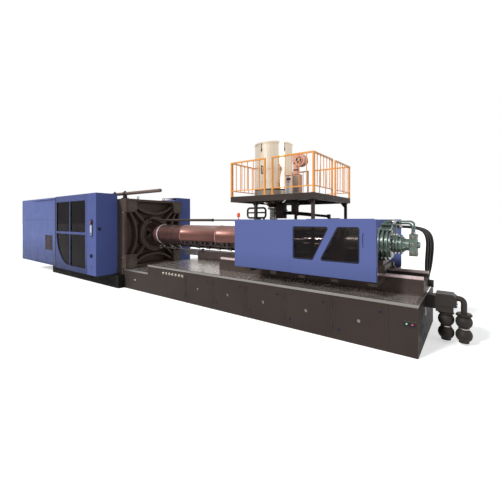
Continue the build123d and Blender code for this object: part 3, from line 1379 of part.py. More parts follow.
def platform_deck():
    """Floor plate on a channel frame, with the four posts that stand on the carriage."""
    x0, x1 = DECK_X
    half = PLATFORM_HALF
    low = PLATFORM_TOP - PLATFORM_H
    under = PLATFORM_TOP - FLOOR_PLATE
    plate = slab(x0, x1, -half, half, under, PLATFORM_TOP)
    plate -= rod_z(FEED_X, 0, under - CUT_PAST, PLATFORM_TOP + CUT_PAST, DECK_HOLE_R)
    w = CHANNEL_W
    pieces = [plate]
    pieces += both_sides(slab(x0, x1, -half, -half + w, low, under))
    pieces.append(slab(x0, x0 + w, -half + w, half - w, low, under))
    pieces.append(slab(x1 - w, x1, -half + w, half - w, low, under))
    half_w = POST_W / 2
    for x in POST_X:
        if abs(x - FEED_X) < DECK_HOLE_R:
            inner = DECK_HOLE_R
            pieces += both_sides(slab(x - half_w, x + half_w, -half + w, -inner, low, under))
        else:
            pieces.append(slab(x - half_w, x + half_w, -half + w, half - w, low, under))
        foot = RAIL_TOP + SADDLE_H + OUTRIGGER_H
        post = slab(x - half_w, x + half_w, -POST_Y - half_w, -POST_Y + half_w, foot, low)
        pieces += both_sides(post)
    return pieces


def dryer_blower():
    """Hot-air blower with its volute and duct, and the dryer's control box beside it."""
    bx, by, bz = BLOWER
    duct = rod_z(BLOWER_DUCT_X, by, PLATFORM_TOP, bz + 60, BLOWER_DUCT_R)
    duct += rod_z(BLOWER_DUCT_X, by, PLATFORM_TOP, PLATFORM_TOP + 14, BLOWER_DUCT_R + 30)
    volute = rod_y(bx, by - BLOWER_D / 2, by + BLOWER_D / 2, bz, BLOWER_R)
    volute = chamfer(volute.edges(), 14)
    neck = slab(BLOWER_DUCT_X - 70, bx, by - 70, by + 70, bz - 40, bz + BLOWER_R - 20)
    inlet = rod_y(bx, by - BLOWER_D / 2 - 20, by, bz, BLOWER_R - 70)
    inlet -= rod_y(bx, by - BLOWER_D / 2 - 30, by - BLOWER_D / 2 + 30, bz, BLOWER_R - 84)
    x0, x1 = DRYER_BOX_X
    y0, y1 = DRYER_BOX_Y
    box = slab(x0, x1, y0, y1, PLATFORM_TOP, PLATFORM_TOP + DRYER_BOX_H)
    box = fillet(box.edges().filter_by(Axis.Z), 14)
    return [duct + volute + neck + inlet, box]


def conveying_pipes():
    """Suction pipe under the platform with its hand tube, and a bent tube over the housing."""
    under = PLATFORM_TOP - FLOOR_PLATE
    start_x = FEED_X + THROAT_R + THROAT_WALL
    elbow = pipe([(SUCTION_X, 0, under), (SUCTION_X, 0, SUCTION_Z), (start_x, 0, SUCTION_Z)],
                 SUCTION_R, SUCTION_BEND)
    hand = rod_x(SUCTION_X, HAND_RIGHT, 0, HAND_Z, HAND_R)
    hand += rod_x(HAND_RIGHT - 80, HAND_RIGHT, 0, HAND_Z, HAND_R + 14)
    x0 = HOUSING[0] + LOOP_INSET
    x1 = HOUSING[1] - LOOP_INSET
    loop = pipe([
        (x0, LOOP_Y, HOUSING_TOP), (x0, LOOP_Y, LOOP_TOP), (x1, LOOP_Y, LOOP_TOP), (x1, LOOP_Y, HOUSING_TOP),
    ], LOOP_R, 3 * LOOP_R)
    bar = rod_x(x0, x1, LOOP_Y, LOOP_BAR_Z, LOOP_R - 8)
    return [elbow + hand, loop + bar]


def oil_manifold():
    """Oil service box on the end wall, with an elbow for the second rubber joint."""
    x0, x1 = SERVICE_X
    y0, y1 = SERVICE_Y
    z0, z1 = SERVICE_Z
    neck = slab(x0, x0 + 190, y0 + 60, y1 - 60, z0 + 40, z1 - 60)
    box = slab(x0 + 180, x1, y0, y1, z0 + 120, z1)
    box = chamfer(box.edges().filter_by(Axis.Y).group_by(Axis.Z)[-1].sort_by(Axis.X)[-1], 70)
    tray = slab(x0 + 180, x1 - 60, y0 + 20, y1 - 20, z0, z0 + 120)
    bracket = slab(x0, x0 + 14, y1 + 80, y1 + 240, z1 + 40, z1 + 260)
    bracket += slab(x0, x0 + 110, y1 + 80, y1 + 96, z1 + 40, z1 + 200)
    middle = (y0 + y1) / 2
    drop = pipe([(x1 - 20, middle, z1 - 90), (JOINT_2_X, middle, z1 - 90), (JOINT_2_X, middle, JOINT_TOP)],
                55, 90)
    stub = rod_z(JOINT_1_X, middle, JOINT_TOP, z0 + 5, 55)
    return [neck + box + tray + drop + stub, bracket]


def expansion_joints():
    """Two twin-sphere rubber joints hanging from the oil service box."""
    middle = sum(SERVICE_Y) / 2
    pieces = []
    for x in (JOINT_1_X, JOINT_2_X):
        half = JOINT_LOBE_H / 2
        lobes = []
        for i in range(2):
            centre = JOINT_TOP - 30 - half - i * (JOINT_LOBE_H + 26)
            oval = Pos(x, middle, centre) * Sphere(JOINT_R)
            oval &= Pos(x, middle, centre) * Box(3 * JOINT_R, 3 * JOINT_R, JOINT_LOBE_H)
            lobes.append(oval)
        low = JOINT_TOP - 2 * JOINT_LOBE_H - 86
        neck = rod_z(x, middle, low, JOINT_TOP, JOINT_NECK_R)
        body = neck + lobes[0] + lobes[1]
        body -= rod_z(x, middle, low - 5, low + 60, JOINT_NECK_R - 22)
        pieces.append(body)
    return pieces


def hoses():
    """Oil hoses from the valve plate to the deck, side by side."""
    pieces = []
    for i in range(HOSE_COUNT):
        route = [(x, y + i * HOSE_PITCH, z) for x, y, z in HOSE_ROUTE]
        radii = []
        for a, b, c in zip(route, route[1:], route[2:]):
            before = Vector(*b) - Vector(*a)
            after = Vector(*c) - Vector(*b)
            turn = before.get_angle(after)
            shorter = min(before.length, after.length)
            radii.append(0.45 * shorter / tan(radians(turn / 2)))
        path = FilletPolyline(*route, radius=radii)
        if i == 0:
            print("hose length", round(path.length), "radii", [round(r) for r in radii])
        start = Plane(origin=path @ 0, z_dir=path % 0)
        pieces.append(sweep(start * Circle(HOSE_R), path=path))
    return pieces


def hose_ends():
    """Hose fittings on the deck, and the ones under the valve plate."""
    deck_ends = []
    plate_ends = []
    for i in range(HOSE_COUNT):
        x, y, z = HOSE_ROUTE[-1]
        y += i * HOSE_PITCH
        deck_ends.append(rod_z(x, y, BASE_TOP, z, HOSE_R + 6))
        x, y, z = HOSE_ROUTE[0]
        y += i * HOSE_PITCH
        plate_ends.append(slab(x - 62, x, y - 32, y + 32, z - 34, VALVE_Z))
    return deck_ends, plate_ends


deck_hose_ends, plate_hose_ends = hose_ends()

for name, build in {
    "clamp_bed": clamp_bed,
    "fixed_platen": fixed_platen,
    "tie_bars": tie_bars,
    "tie_bar_nuts": tie_bar_nuts,
    "tail_platen": tail_platen,
    "clamp_cylinder": clamp_cylinder,
    "moving_platen": moving_platen,
    "clamp_ram": clamp_ram,
    "safety_bar": safety_bar,
    "safety_bar_guide": safety_bar_guide,
    "ejector_plate": ejector_plate,
    "clamp_covers": clamp_covers,
    "end_covers": end_covers,
    "door_rails": door_rails,
    "control_strip": control_strip,
    "stop_button": stop_button,
    "base_frame": base_frame,
    "base_front": base_front,
    "base_deck": base_deck,
    "edge_trim": edge_trim,
    "bench": bench,
    "guide_rails": guide_rails,
    "service_fittings": service_fittings,
    "cable_duct": cable_duct,
    "guard_panels": guard_panels,
    "guard_door": guard_door,
    "guard_door_panes": guard_door_panes,
    "beacon": beacon,
    "carriage_cylinders": carriage_cylinders,
    "carriage_rods": carriage_rods,
    "carriage_frame": carriage_frame,
    "barrel_housing": barrel_housing,
    "barrel": barrel,
    "nozzle": nozzle,
    "heater_bands": heater_bands,
    "screw": screw,
    "injection_piston": injection_piston,
    "drive_shaft": drive_shaft,
    "injection_cylinder": injection_cylinder,
    "hydraulic_motor": hydraulic_motor,
    "valve_manifold": valve_manifold,
    "feed_throat": feed_throat,
    "hopper": hopper,
    "hopper_lid": hopper_lid,
    "guard_rails": guard_rails,
    "platform_deck": platform_deck,
    "dryer_blower": dryer_blower,
    "conveying_pipes": conveying_pipes,
    "oil_manifold": oil_manifold,
    "expansion_joints": expansion_joints,
    "hoses": hoses,
}.items():
    parts[name] = build()

parts["base_deck"] += deck_hose_ends
parts["valve_manifold"] += plate_hose_ends
front_door = safety_door()
parts["front_door"] = front_door
parts["back_door"] = mirror(front_door, Plane.XZ)
front_panes = safety_door_panes()
parts["front_door_panes"] = front_panes
parts["back_door_panes"] = [mirror(pane, Plane.XZ) for pane in front_panes]
for index in range(BAY_COUNT):
    parts[f"cabinet_door_{index + 1}"] = cabinet_door(index)


def write_parts():
    os.makedirs("parts", exist_ok=True)
    for name, shape in parts.items():
        solids = shape if isinstance(shape, list) else [shape]
        group = Compound(children=solids) if len(solids) > 1 else solids[0]
        export_step(group, f"parts/{name}.step")


write_parts()
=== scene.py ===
import json
from math import atan2, copysign, cos, pi, radians, sin

import bmesh
import bpy
from mathutils import Matrix, Vector


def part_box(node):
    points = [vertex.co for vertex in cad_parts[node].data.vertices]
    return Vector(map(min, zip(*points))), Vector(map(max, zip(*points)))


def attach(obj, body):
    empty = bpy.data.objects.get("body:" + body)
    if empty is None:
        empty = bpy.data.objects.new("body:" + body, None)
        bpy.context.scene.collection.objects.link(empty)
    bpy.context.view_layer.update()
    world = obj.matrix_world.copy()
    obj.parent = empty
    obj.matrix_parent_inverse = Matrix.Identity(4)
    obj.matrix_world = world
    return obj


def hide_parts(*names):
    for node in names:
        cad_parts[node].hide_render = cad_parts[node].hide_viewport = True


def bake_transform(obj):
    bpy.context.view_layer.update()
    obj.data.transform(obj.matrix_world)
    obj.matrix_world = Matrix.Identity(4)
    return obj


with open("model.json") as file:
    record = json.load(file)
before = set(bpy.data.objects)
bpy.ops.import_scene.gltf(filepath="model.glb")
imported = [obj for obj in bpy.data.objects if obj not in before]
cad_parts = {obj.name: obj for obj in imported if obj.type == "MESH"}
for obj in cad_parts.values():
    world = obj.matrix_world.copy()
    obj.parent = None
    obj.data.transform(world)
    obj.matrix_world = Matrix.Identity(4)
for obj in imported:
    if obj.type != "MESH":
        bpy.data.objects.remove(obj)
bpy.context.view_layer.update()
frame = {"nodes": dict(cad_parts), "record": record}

# Dressing of a large injection moulding machine, in metres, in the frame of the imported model.
# X runs from the mould face to the injection end, Y to the back, Z up.

RIGHT = (1, 0, 0)
LEFT = (-1, 0, 0)
FRONT = (0, -1, 0)
BACK = (0, 1, 0)
UP = (0, 0, 1)
DOWN = (0, 0, -1)

BOX = {node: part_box(node) for node in frame["nodes"]}

AXIS_Z = 2.030


# Materials

def screen(red, green, blue):
    """A colour given as 0 to 255 screen values, as the linear values that a shader takes."""
    linear = []
    for value in (red, green, blue):
        share = value / 255
        linear.append(share / 12.92 if share <= 0.04045 else ((share + 0.055) / 1.055) ** 2.4)
    return tuple(linear)


def shader_tree(name):
    """A new material with its node tree, its links and its main shader."""
    material = bpy.data.materials.new(name)
    material.use_nodes = True
    tree = material.node_tree
    return material, tree.nodes, tree.links, tree.nodes["Principled BSDF"]


def add(nodes, kind, values=None):
    """A new shader node with some of its inputs set."""
    node = nodes.new("ShaderNode" + kind)
    for label, value in (values or {}).items():
        node.inputs[label].default_value = value
    return node


def noise(nodes, links, scale, stretch=(1, 1, 1), detail=4.0):
    """The value of a noise texture over the object's own coordinates."""
    place = add(nodes, "TexCoord")
    mapping = add(nodes, "Mapping", {"Scale": stretch})
    links.new(place.outputs["Object"], mapping.inputs["Vector"])
    texture = add(nodes, "TexNoise", {"Scale": scale, "Detail": detail})
    links.new(mapping.outputs["Vector"], texture.inputs["Vector"])
    return texture.outputs["Fac"]


def ramp(nodes, links, value, stops):
    """A colour ramp on a value, from (position, colour) stops."""
    node = add(nodes, "ValToRGB")
    elements = node.color_ramp.elements
    elements[0].position = stops[0][0]
    elements[-1].position = stops[-1][0]
    for position, colour in stops[1:-1]:
        elements.new(position)
    for element, (position, colour) in zip(elements, stops):
        element.color = (*colour, 1)
    links.new(value, node.inputs["Fac"])
    return node.outputs["Color"]


def spread_of(nodes, links, value, low, high):
    """A noise value laid out between two others."""
    node = add(nodes, "MapRange", {"From Min": 0.3, "From Max": 0.7, "To Min": low, "To Max": high})
    links.new(value, node.inputs["Value"])
    return node.outputs["Result"]


def either(nodes, links, first, second):
    """The larger of two values."""
    node = add(nodes, "Math")
    node.operation = "MAXIMUM"
    links.new(first, node.inputs[0])
    links.new(second, node.inputs[1])
    return node.outputs["Value"]


def choose(nodes, links, share, first, second):
    """The first shader where the share is 0, and the second one where it is 1."""
    mix = add(nodes, "MixShader")
    links.new(share, mix.inputs["Fac"])
    links.new(first, mix.inputs[1])
    links.new(second, mix.inputs[2])
    return mix.outputs["Shader"]


def shade(colour, factor):
    return tuple(min(1.0, c * factor) for c in colour)


def around(colour, spread):
    """The stops of a ramp that goes from a little darker to a little lighter."""
    return [(0.3, shade(colour, 1 - spread)), (0.7, shade(colour, 1 + spread))]


def finish(name, colour, metallic=0.0, rough=0.4, spread=0.07, scale=1.3, grain=(1, 1, 1),
           bump=0.04, bump_scale=90.0, coat=0.0, specular=0.22):
    """A surface whose colour, roughness and relief all vary a little."""
    material, nodes, links, shader = shader_tree(name)
    cloud = noise(nodes, links, scale, grain)
    links.new(ramp(nodes, links, cloud, around(colour, spread)), shader.inputs["Base Color"])
    smudge = noise(nodes, links, scale * 6, grain, 6.0)
    links.new(spread_of(nodes, links, smudge, rough * 0.82, rough * 1.22), shader.inputs["Roughness"])
    relief = add(nodes, "Bump", {"Strength": bump, "Distance": 0.002})
    links.new(noise(nodes, links, bump_scale, grain, 3.0), relief.inputs["Height"])
    links.new(relief.outputs["Normal"], shader.inputs["Normal"])
    shader.inputs["Metallic"].default_value = metallic
    shader.inputs["Specular IOR Level"].default_value = specular
    shader.inputs["Coat Weight"].default_value = coat
    shader.inputs["Coat Roughness"].default_value = 0.2
    return material


def banded_finish(name, axis, stops, spread=0.07, scale=1.3, **values):
    """A finish whose colour follows the object's own X, Y or Z, from (metres, colour) stops."""
    material = finish(name, stops[0][1], spread=spread, scale=scale, **values)
    nodes = material.node_tree.nodes
    links = material.node_tree.links
    place = add(nodes, "TexCoord")
    parts = add(nodes, "SeparateXYZ")
    links.new(place.outputs["Object"], parts.inputs["Vector"])
    low = stops[0][0]
    high = stops[-1][0]
    along = add(nodes, "MapRange", {"From Min": low, "From Max": high})
    links.new(parts.outputs[axis], along.inputs["Value"])
    bands = [((at - low) / (high - low), shade(colour, 1 + spread)) for at, colour in stops]
    mix = add(nodes, "MixRGB", {"Fac": 1.0})
    mix.blend_type = "MULTIPLY"
    links.new(ramp(nodes, links, along.outputs["Result"], bands), mix.inputs["Color1"])
    cloud = noise(nodes, links, scale)
    links.new(ramp(nodes, links, cloud, around((1 - spread,) * 3, spread)), mix.inputs["Color2"])
    links.new(mix.outputs["Color"], nodes["Principled BSDF"].inputs["Base Color"])
    return material


def pane_finish(name, tint, mirrored):
    """Tinted sheet that shows what is behind it faintly and mirrors its surroundings a little."""
    material, nodes, links, shader = shader_tree(name)
    nodes.remove(shader)
    clear = add(nodes, "BsdfTransparent")
    links.new(ramp(nodes, links, noise(nodes, links, 0.8), around(tint, 0.15)), clear.inputs["Color"])
    mirror = add(nodes, "BsdfGlossy", {"Roughness": 0.06})
    links.new(ramp(nodes, links, noise(nodes, links, 1.1), around(mirrored, 0.15)), mirror.inputs["Color"])
    edge = add(nodes, "Fresnel", {"IOR": 1.35})
    mixed = choose(nodes, links, edge.outputs["Fac"], clear.outputs["BSDF"], mirror.outputs["BSDF"])
    links.new(mixed, nodes["Material Output"].inputs["Surface"])
    return material


def lamp_finish(name, colour):
    """Coloured lamp glass with a faint glow."""
    material = finish(name, colour, rough=0.2, coat=0.6, spread=0.12, scale=30.0)
    shader = material.node_tree.nodes["Principled BSDF"]
    shader.inputs["Emission Color"].default_value = (*colour, 1)
    shader.inputs["Emission Strength"].default_value = 0.25
    return material


# Every plain finish: its screen colour and values, first those of the record's slots
FINISHES = {
    "end_blue": ((80, 93, 152), dict(rough=0.45, spread=0.05, scale=0.8, specular=0.12)),
    "bed_black": ((31, 30, 28), dict(rough=0.6, spread=0.15, specular=0.05)),
    "platen_brown": ((80, 67, 59), dict(rough=0.5, spread=0.16, scale=2.0, bump=0.3, bump_scale=45.0)),
    "machine_grey": ((88, 80, 74), dict(rough=0.45, spread=0.1, scale=2.0, bump=0.08)),
    "base_grey": ((64, 55, 51), dict(rough=0.45, spread=0.08, scale=0.9, specular=0.08)),
    "deck_steel": ((250, 241, 234), dict(metallic=0.9, rough=0.26, spread=0.05, scale=0.8, bump=0.0)),
    "trim_steel": ((138, 134, 130), dict(metallic=0.7, rough=0.3, spread=0.1, scale=3.0,
                                         grain=(0.3, 4, 4))),
    "bar_chrome": ((214, 214, 218), dict(metallic=1.0, rough=0.12, spread=0.05, scale=3.0)),
    "bright_steel": ((208, 198, 196), dict(metallic=0.9, rough=0.25, spread=0.1, scale=4.0,
                                           grain=(0.4, 5, 5))),
    "screw_steel": ((170, 170, 172), dict(metallic=1.0, rough=0.2, spread=0.08, scale=5.0)),
    "hydraulic_green": ((96, 112, 104), dict(metallic=0.25, rough=0.28, coat=0.5, spread=0.1,
                                             scale=3.0)),
    "strip_metal": ((196, 196, 200), dict(metallic=0.85, rough=0.22, spread=0.06, scale=3.0,
                                          grain=(6, 6, 0.5))),
    "button_red": ((128, 26, 30), dict(rough=0.3, coat=0.5, spread=0.1, scale=20.0)),
    "port_steel": ((190, 186, 172), dict(metallic=0.6, rough=0.3, spread=0.1, scale=12.0)),
    "duct_grey": ((132, 134, 136), dict(rough=0.5, spread=0.06)),
    "rail_orange": ((242, 160, 62), dict(rough=0.32, coat=0.4, spread=0.06, scale=2.5)),
    "platform_dark": ((60, 51, 47), dict(rough=0.5, spread=0.14, scale=2.0, bump=0.15,
                                         bump_scale=30.0, specular=0.14)),
    "hopper_steel": ((234, 218, 198), dict(metallic=0.92, rough=0.24, spread=0.07, scale=1.2,
                                           grain=(6, 6, 0.25))),
    "dryer_salmon": ((222, 166, 146), dict(rough=0.4, coat=0.2, spread=0.06, scale=5.0)),
    "tube_black": ((34, 34, 34), dict(rough=0.5, spread=0.15, scale=4.0)),
    "service_dark": ((50, 45, 42), dict(rough=0.4, spread=0.12, scale=3.0)),
    "joint_rubber": ((47, 42, 39), dict(rough=0.6, spread=0.2, scale=7.0, bump=0.2, bump_scale=140.0)),
    "hose_rubber": ((44, 42, 39), dict(rough=0.45, spread=0.15, scale=9.0, bump=0.2, bump_scale=220.0)),
    "dark_trim": ((28, 29, 42), dict(rough=0.5, spread=0.12, scale=4.0)),
    "dark_brown": ((52, 40, 36), dict(rough=0.5, spread=0.14, scale=4.0)),
    "bar_brown": ((112, 92, 84), dict(metallic=0.4, rough=0.4, spread=0.1, scale=3.0)),
    "dark_machine": ((56, 50, 48), dict(rough=0.45, spread=0.12, scale=3.0)),
    "skirt_grey": ((150, 140, 128), dict(metallic=0.5, rough=0.4, spread=0.08, scale=2.0)),
    "box_brown": ((128, 112, 100), dict(rough=0.45, spread=0.06, scale=5.0)),
    "guide_steel": ((206, 184, 182), dict(metallic=0.3, rough=0.3, spread=0.06, scale=4.0)),
    "duct_brown": ((104, 92, 90), dict(rough=0.5, spread=0.06, scale=2.0)),
    "base_end": ((34, 29, 29), dict(rough=0.5, spread=0.08, specular=0.05)),
    "pale_grey": ((196, 190, 184), dict(rough=0.45, spread=0.06, scale=6.0)),
    "feed_pale": ((176, 172, 164), dict(metallic=0.4, rough=0.35, spread=0.08, scale=4.0)),
    "nozzle_pink": ((176, 122, 124), dict(metallic=0.8, rough=0.3, spread=0.12, scale=6.0)),
    "burnt_steel": ((74, 58, 60), dict(metallic=0.7, rough=0.35, spread=0.2, scale=3.0)),
    # painted highlight: pale paint for the barrel head ring in place of its chrome glint
    "painted_glint_band": ((226, 220, 222), dict(metallic=0.35, rough=0.3, spread=0.06, scale=5.0)),
    "cap_orange": ((214, 112, 60), dict(rough=0.4, spread=0.1, scale=20.0)),
}
MATERIALS = {name: finish(name, screen(*tone), **values) for name, (tone, values) in FINISHES.items()}

# Panes: what they let through and what they mirror; the back panes are near black, painted shade for the
# dark inside
for name, tint, mirrored in (("dark_pane", (0.36, 0.28, 0.26), (0.27, 0.25, 0.25)),
                             ("guard_pane", (0.42, 0.36, 0.35), (0.40, 0.37, 0.37)),
                             ("back_pane_painted_shade", (0.05, 0.04, 0.04), (0.20, 0.19, 0.19))):
    MATERIALS[name] = pane_finish(name, tint, mirrored)
for name, tone in (("lamp_orange", (232, 84, 34)), ("lamp_green", (150, 196, 150)),
                   ("lamp_red", (200, 70, 60))):
    MATERIALS[name] = lamp_finish(name, screen(*tone))

# Finishes that change along the object: painted shade darkens the covers and doors towards the floor and
# the back door's inner faces, and painted light and shade lie on the copper shields, rods and cylinders
COVER_BLUE = screen(97, 109, 164)
DOOR_BLUE = screen(80, 90, 140)
PAINT = dict(rough=0.48, specular=0.08)
# painted shade: the clamp covers get darker towards the floor
MATERIALS["cover_blue"] = banded_finish("cover_blue", "Z", [
    (0.500, shade(COVER_BLUE, 0.52)), (1.200, shade(COVER_BLUE, 0.74)), (1.800, COVER_BLUE),
], spread=0.035, scale=0.6, **PAINT)
# painted shade: the doors get darker towards the floor
MATERIALS["door_blue"] = banded_finish("door_blue", "Z", [
    (0.500, shade(DOOR_BLUE, 0.42)), (0.760, shade(DOOR_BLUE, 0.58)), (1.100, shade(DOOR_BLUE, 0.86)),
    (1.800, DOOR_BLUE),
], spread=0.04, scale=0.8, **PAINT)
# painted shade: the back door's inner faces are near black and its outer face is blue
MATERIALS["back_door_painted_inner_shade"] = banded_finish("back_door_painted_inner_shade", "Y", [
    (2.126, screen(34, 30, 30)), (2.136, DOOR_BLUE),
], spread=0.04, scale=0.8, **PAINT)
# painted shade and highlight: near black under the barrel and brightest near the top of the shields
MATERIALS["copper_shield"] = banded_finish("copper_shield", "Z", [
    (1.640, screen(56, 46, 44)), (1.850, screen(56, 46, 44)), (1.880, screen(112, 74, 68)),
    (2.060, screen(104, 69, 62)), (2.180, screen(126, 86, 78)), (2.300, screen(156, 118, 110)),
    (2.420, screen(128, 98, 94)),
], metallic=0.4, rough=0.34, spread=0.1, scale=1.2)
# painted light and shade: the rods are light below their axis and dark above it
MATERIALS["rod_painted_light_shade"] = banded_finish("rod_painted_light_shade", "Z", [
    (AXIS_Z - 0.01, screen(150, 144, 146)), (AXIS_Z + 0.01, screen(60, 52, 52)),
], metallic=0.3, rough=0.3, spread=0.06, scale=3.0)
# painted light and shade: the cylinders are light below their axis and dark above it
MATERIALS["jack_painted_light_shade"] = banded_finish("jack_painted_light_shade", "Z", [
    (AXIS_Z - 0.01, screen(134, 128, 128)), (AXIS_Z + 0.01, screen(58, 50, 46)),
], metallic=0.3, rough=0.4, spread=0.08, scale=3.0)

# Nodes whose finish isn't that of their slot
NODE_FINISHES = {
    "control_strip": "dark_trim",
    "safety_bar": "bar_brown",
    "back_door": "back_door_painted_inner_shade",
    "door_rails": "cover_blue",
    "back_door_panes": "back_pane_painted_shade",
    "carriage_rods": "rod_painted_light_shade",
    "carriage_cylinders": "jack_painted_light_shade",
    "guide_rails": "guide_steel",
    "base_frame": "base_end",
    "guard_door_panes": "guard_pane",
    "feed_throat": "feed_pale",
    "nozzle": "nozzle_pink",
}


def dress_cad():
    """Gives every CAD node the finish of its slot in the record, or its own one."""
    for part in frame["record"]["subparts"]:
        name = part["node"]
        node = frame["nodes"][name]
        material = MATERIALS[NODE_FINISHES.get(name, part["material_slot"])]
        if not node.data.materials:
            node.data.materials.append(material)
        for index in range(len(node.material_slots)):
            node.material_slots[index].material = material


# Mesh shapes

class Shapes:
    """Collects blocks, turned forms, tubes and bolts for one piece."""

    def __init__(self):
        self.bm = bmesh.new()

    def block(self, low, high, bevel=0.003):
        low = Vector(low)
        high = Vector(high)
        size = high - low
        place = Matrix.Translation((low + high) / 2) @ Matrix.Diagonal((*size, 1))
        made = bmesh.ops.create_cube(self.bm, size=1.0, matrix=place)
        edges = {edge for vertex in made["verts"] for edge in vertex.link_edges}
        limit = min(abs(side) for side in size) / 2.2
        bmesh.ops.bevel(self.bm, geom=list(edges), offset=min(bevel, limit), segments=2,
                        profile=0.5, affect="EDGES")

    def join(self, first, second):
        """Faces between two rings, either of which may be a single point."""
        if len(first) == 1 and len(second) == 1:
            return
        count = max(len(first), len(second))
        for i in range(count):
            j = (i + 1) % count
            if len(first) == 1:
                self.bm.faces.new((first[0], second[i], second[j]))
            elif len(second) == 1:
                self.bm.faces.new((first[i], first[j], second[0]))
            else:
                self.bm.faces.new((first[i], first[j], second[j], second[i]))

    def turned(self, origin, axis, profile, sides=24, closed=False):
        """A form turned about an axis from (distance along it, radius) points."""
        origin = Vector(origin)
        turn = Vector(axis).to_track_quat("Z", "Y").to_matrix()
        rings = []
        for along, radius in profile:
            if radius <= 0:
                rings.append([self.bm.verts.new(origin + turn @ Vector((0, 0, along)))])
                continue
            ring = []
            for i in range(sides):
                angle = 2 * pi * (i + 0.5) / sides
                spot = Vector((radius * cos(angle), radius * sin(angle), along))
                ring.append(self.bm.verts.new(origin + turn @ spot))
            rings.append(ring)
        for first, second in zip(rings, rings[1:]):
            self.join(first, second)
        if closed:
            self.join(rings[-1], rings[0])
            return
        for ring in (rings[0], rings[-1]):
            if len(ring) > 1:
                self.bm.faces.new(ring)

    def collar(self, origin, axis, inner, outer, width, edge=0.002, sides=48):
        """A ring with small chamfers, from its near face along the axis."""
        self.turned(origin, axis, [
            (0, inner), (0, outer - edge), (edge, outer), (width - edge, outer),
            (width, outer - edge), (width, inner),
        ], sides, closed=True)

    def tube(self, points, radius, sides=10, closed=False):
        """A round tube through the points."""
        points = [Vector(point) for point in points]
        count = len(points)
        rings = []
        side = None
        for i, point in enumerate(points):
            if closed:
                ahead = points[(i + 1) % count] - points[i - 1]
            else:
                ahead = points[min(i + 1, count - 1)] - points[max(i - 1, 0)]
            ahead.normalize()
            if side is None:
                side = ahead.orthogonal().normalized()
            else:
                side = (side - ahead * side.dot(ahead)).normalized()
            up = ahead.cross(side)
            ring = []
            for k in range(sides):
                angle = 2 * pi * k / sides
                ring.append(self.bm.verts.new(point + radius * (cos(angle) * side + sin(angle) * up)))
            rings.append(ring)
        for first, second in zip(rings, rings[1:]):
            self.join(first, second)
        if closed:
            self.join(rings[-1], rings[0])
        else:
            self.bm.faces.new(rings[0])
            self.bm.faces.new(rings[-1])

    def hex_bolt(self, place, axis, radius):
        """A hexagon head on a washer."""
        self.turned(place, axis, [(0, radius * 1.3), (radius * 0.18, radius * 1.3)], 18)
        self.turned(place, axis, [
            (radius * 0.18, radius), (radius * 0.8, radius), (radius * 0.95, radius * 0.82),
        ], 6)

    def cap_screw(self, place, axis, radius):
        """A round head with a socket."""
        self.turned(place, axis, [
            (0, radius), (radius * 0.85, radius), (radius, radius * 0.86), (radius, radius * 0.5),
            (radius * 0.45, radius * 0.42), (radius * 0.45, 0),
        ], 14)

    def button_screw(self, place, axis, radius):
        """A low domed screw head."""
        self.turned(place, axis, [
            (0, radius), (radius * 0.25, radius * 0.95), (radius * 0.5, radius * 0.55),
            (radius * 0.55, 0),
        ], 12)

    def prism(self, outline, y0, y1):
        """A flat outline of (x, z) points pushed along Y, from one place to another."""
        rings = []
        for y in (y0, y1):
            rings.append([self.bm.verts.new((x, y, z)) for x, z in outline])
        self.join(rings[0], rings[1])
        for ring in rings:
            self.bm.faces.new(ring)

    def border(self, inner, outer, y0, y1):
        """A flat frame between two outlines of the same number of (x, z) points."""
        loops = []
        for outline, y in ((inner, y0), (outer, y0), (outer, y1), (inner, y1)):
            loops.append([self.bm.verts.new((x, y, z)) for x, z in outline])
        for first, second in zip(loops, loops[1:] + loops[:1]):
            self.join(first, second)


def new_object(name, data):
    """A new object of the scene, for a mesh, a curve, a light or a camera."""
    obj = bpy.data.objects.new(name, data)
    bpy.context.scene.collection.objects.link(obj)
    return obj


def piece(name, body, slot, shapes, look=None, smooth_angle=35):
    """Makes one object of the collected shapes and lets it ride on a body."""
    bm = shapes.bm
    bmesh.ops.recalc_face_normals(bm, faces=bm.faces)
    mesh = bpy.data.meshes.new(name)
    bm.to_mesh(mesh)
    bm.free()
    mesh.shade_smooth()
    mesh.set_sharp_from_angle(angle=radians(smooth_angle))
    mesh.materials.append(MATERIALS[look or slot])
    obj = new_object(name, mesh)
    if body:
        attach(obj, body)
    return obj


# Places, outlines and profiles

def steps(low, high, count):
    """Evenly spaced values from low to high."""
    return [low + (high - low) * i / (count - 1) for i in range(count)]


def places(xs, ys, zs):
    """Every place of a grid."""
    return [(x, y, z) for x in xs for y in ys for z in zs]


def span(side, inner, outer):
    """Two distances from the middle plane as places along Y on one side, the lower one first."""
    return sorted((side * inner, side * outer))


def round_angles(count, start=0.0):
    """Evenly spaced angles of a full turn."""
    return [start + 2 * pi * i / count for i in range(count)]


def circle_point(centre, axis, radius, angle):
    """A point on a circle about a line along X, Y or Z."""
    x, y, z = centre
    a = radius * cos(angle)
    b = radius * sin(angle)
    return {"X": (x, y + a, z + b), "Y": (x + a, y, z + b), "Z": (x + a, y + b, z)}[axis]


def circle(centre, axis, radius, count, start=0.0):
    """Evenly spaced points on a circle about a line along X, Y or Z."""
    return [circle_point(centre, axis, radius, angle) for angle in round_angles(count, start)]


def cap(radius, straight, lip, height, bore=0):
    """The profile of a cap or nut: a straight side, a chamfer up to the lip and a flat top."""
    return [(0, radius), (straight, radius), (height, lip), (height, bore)]


def rectangle(x0, x1, z0, z1, inset=0.0):
    """The (x, z) corners of a rectangle, anticlockwise."""
    return [(x0 + inset, z0 + inset), (x1 - inset, z0 + inset),
            (x1 - inset, z1 - inset), (x0 + inset, z1 - inset)]


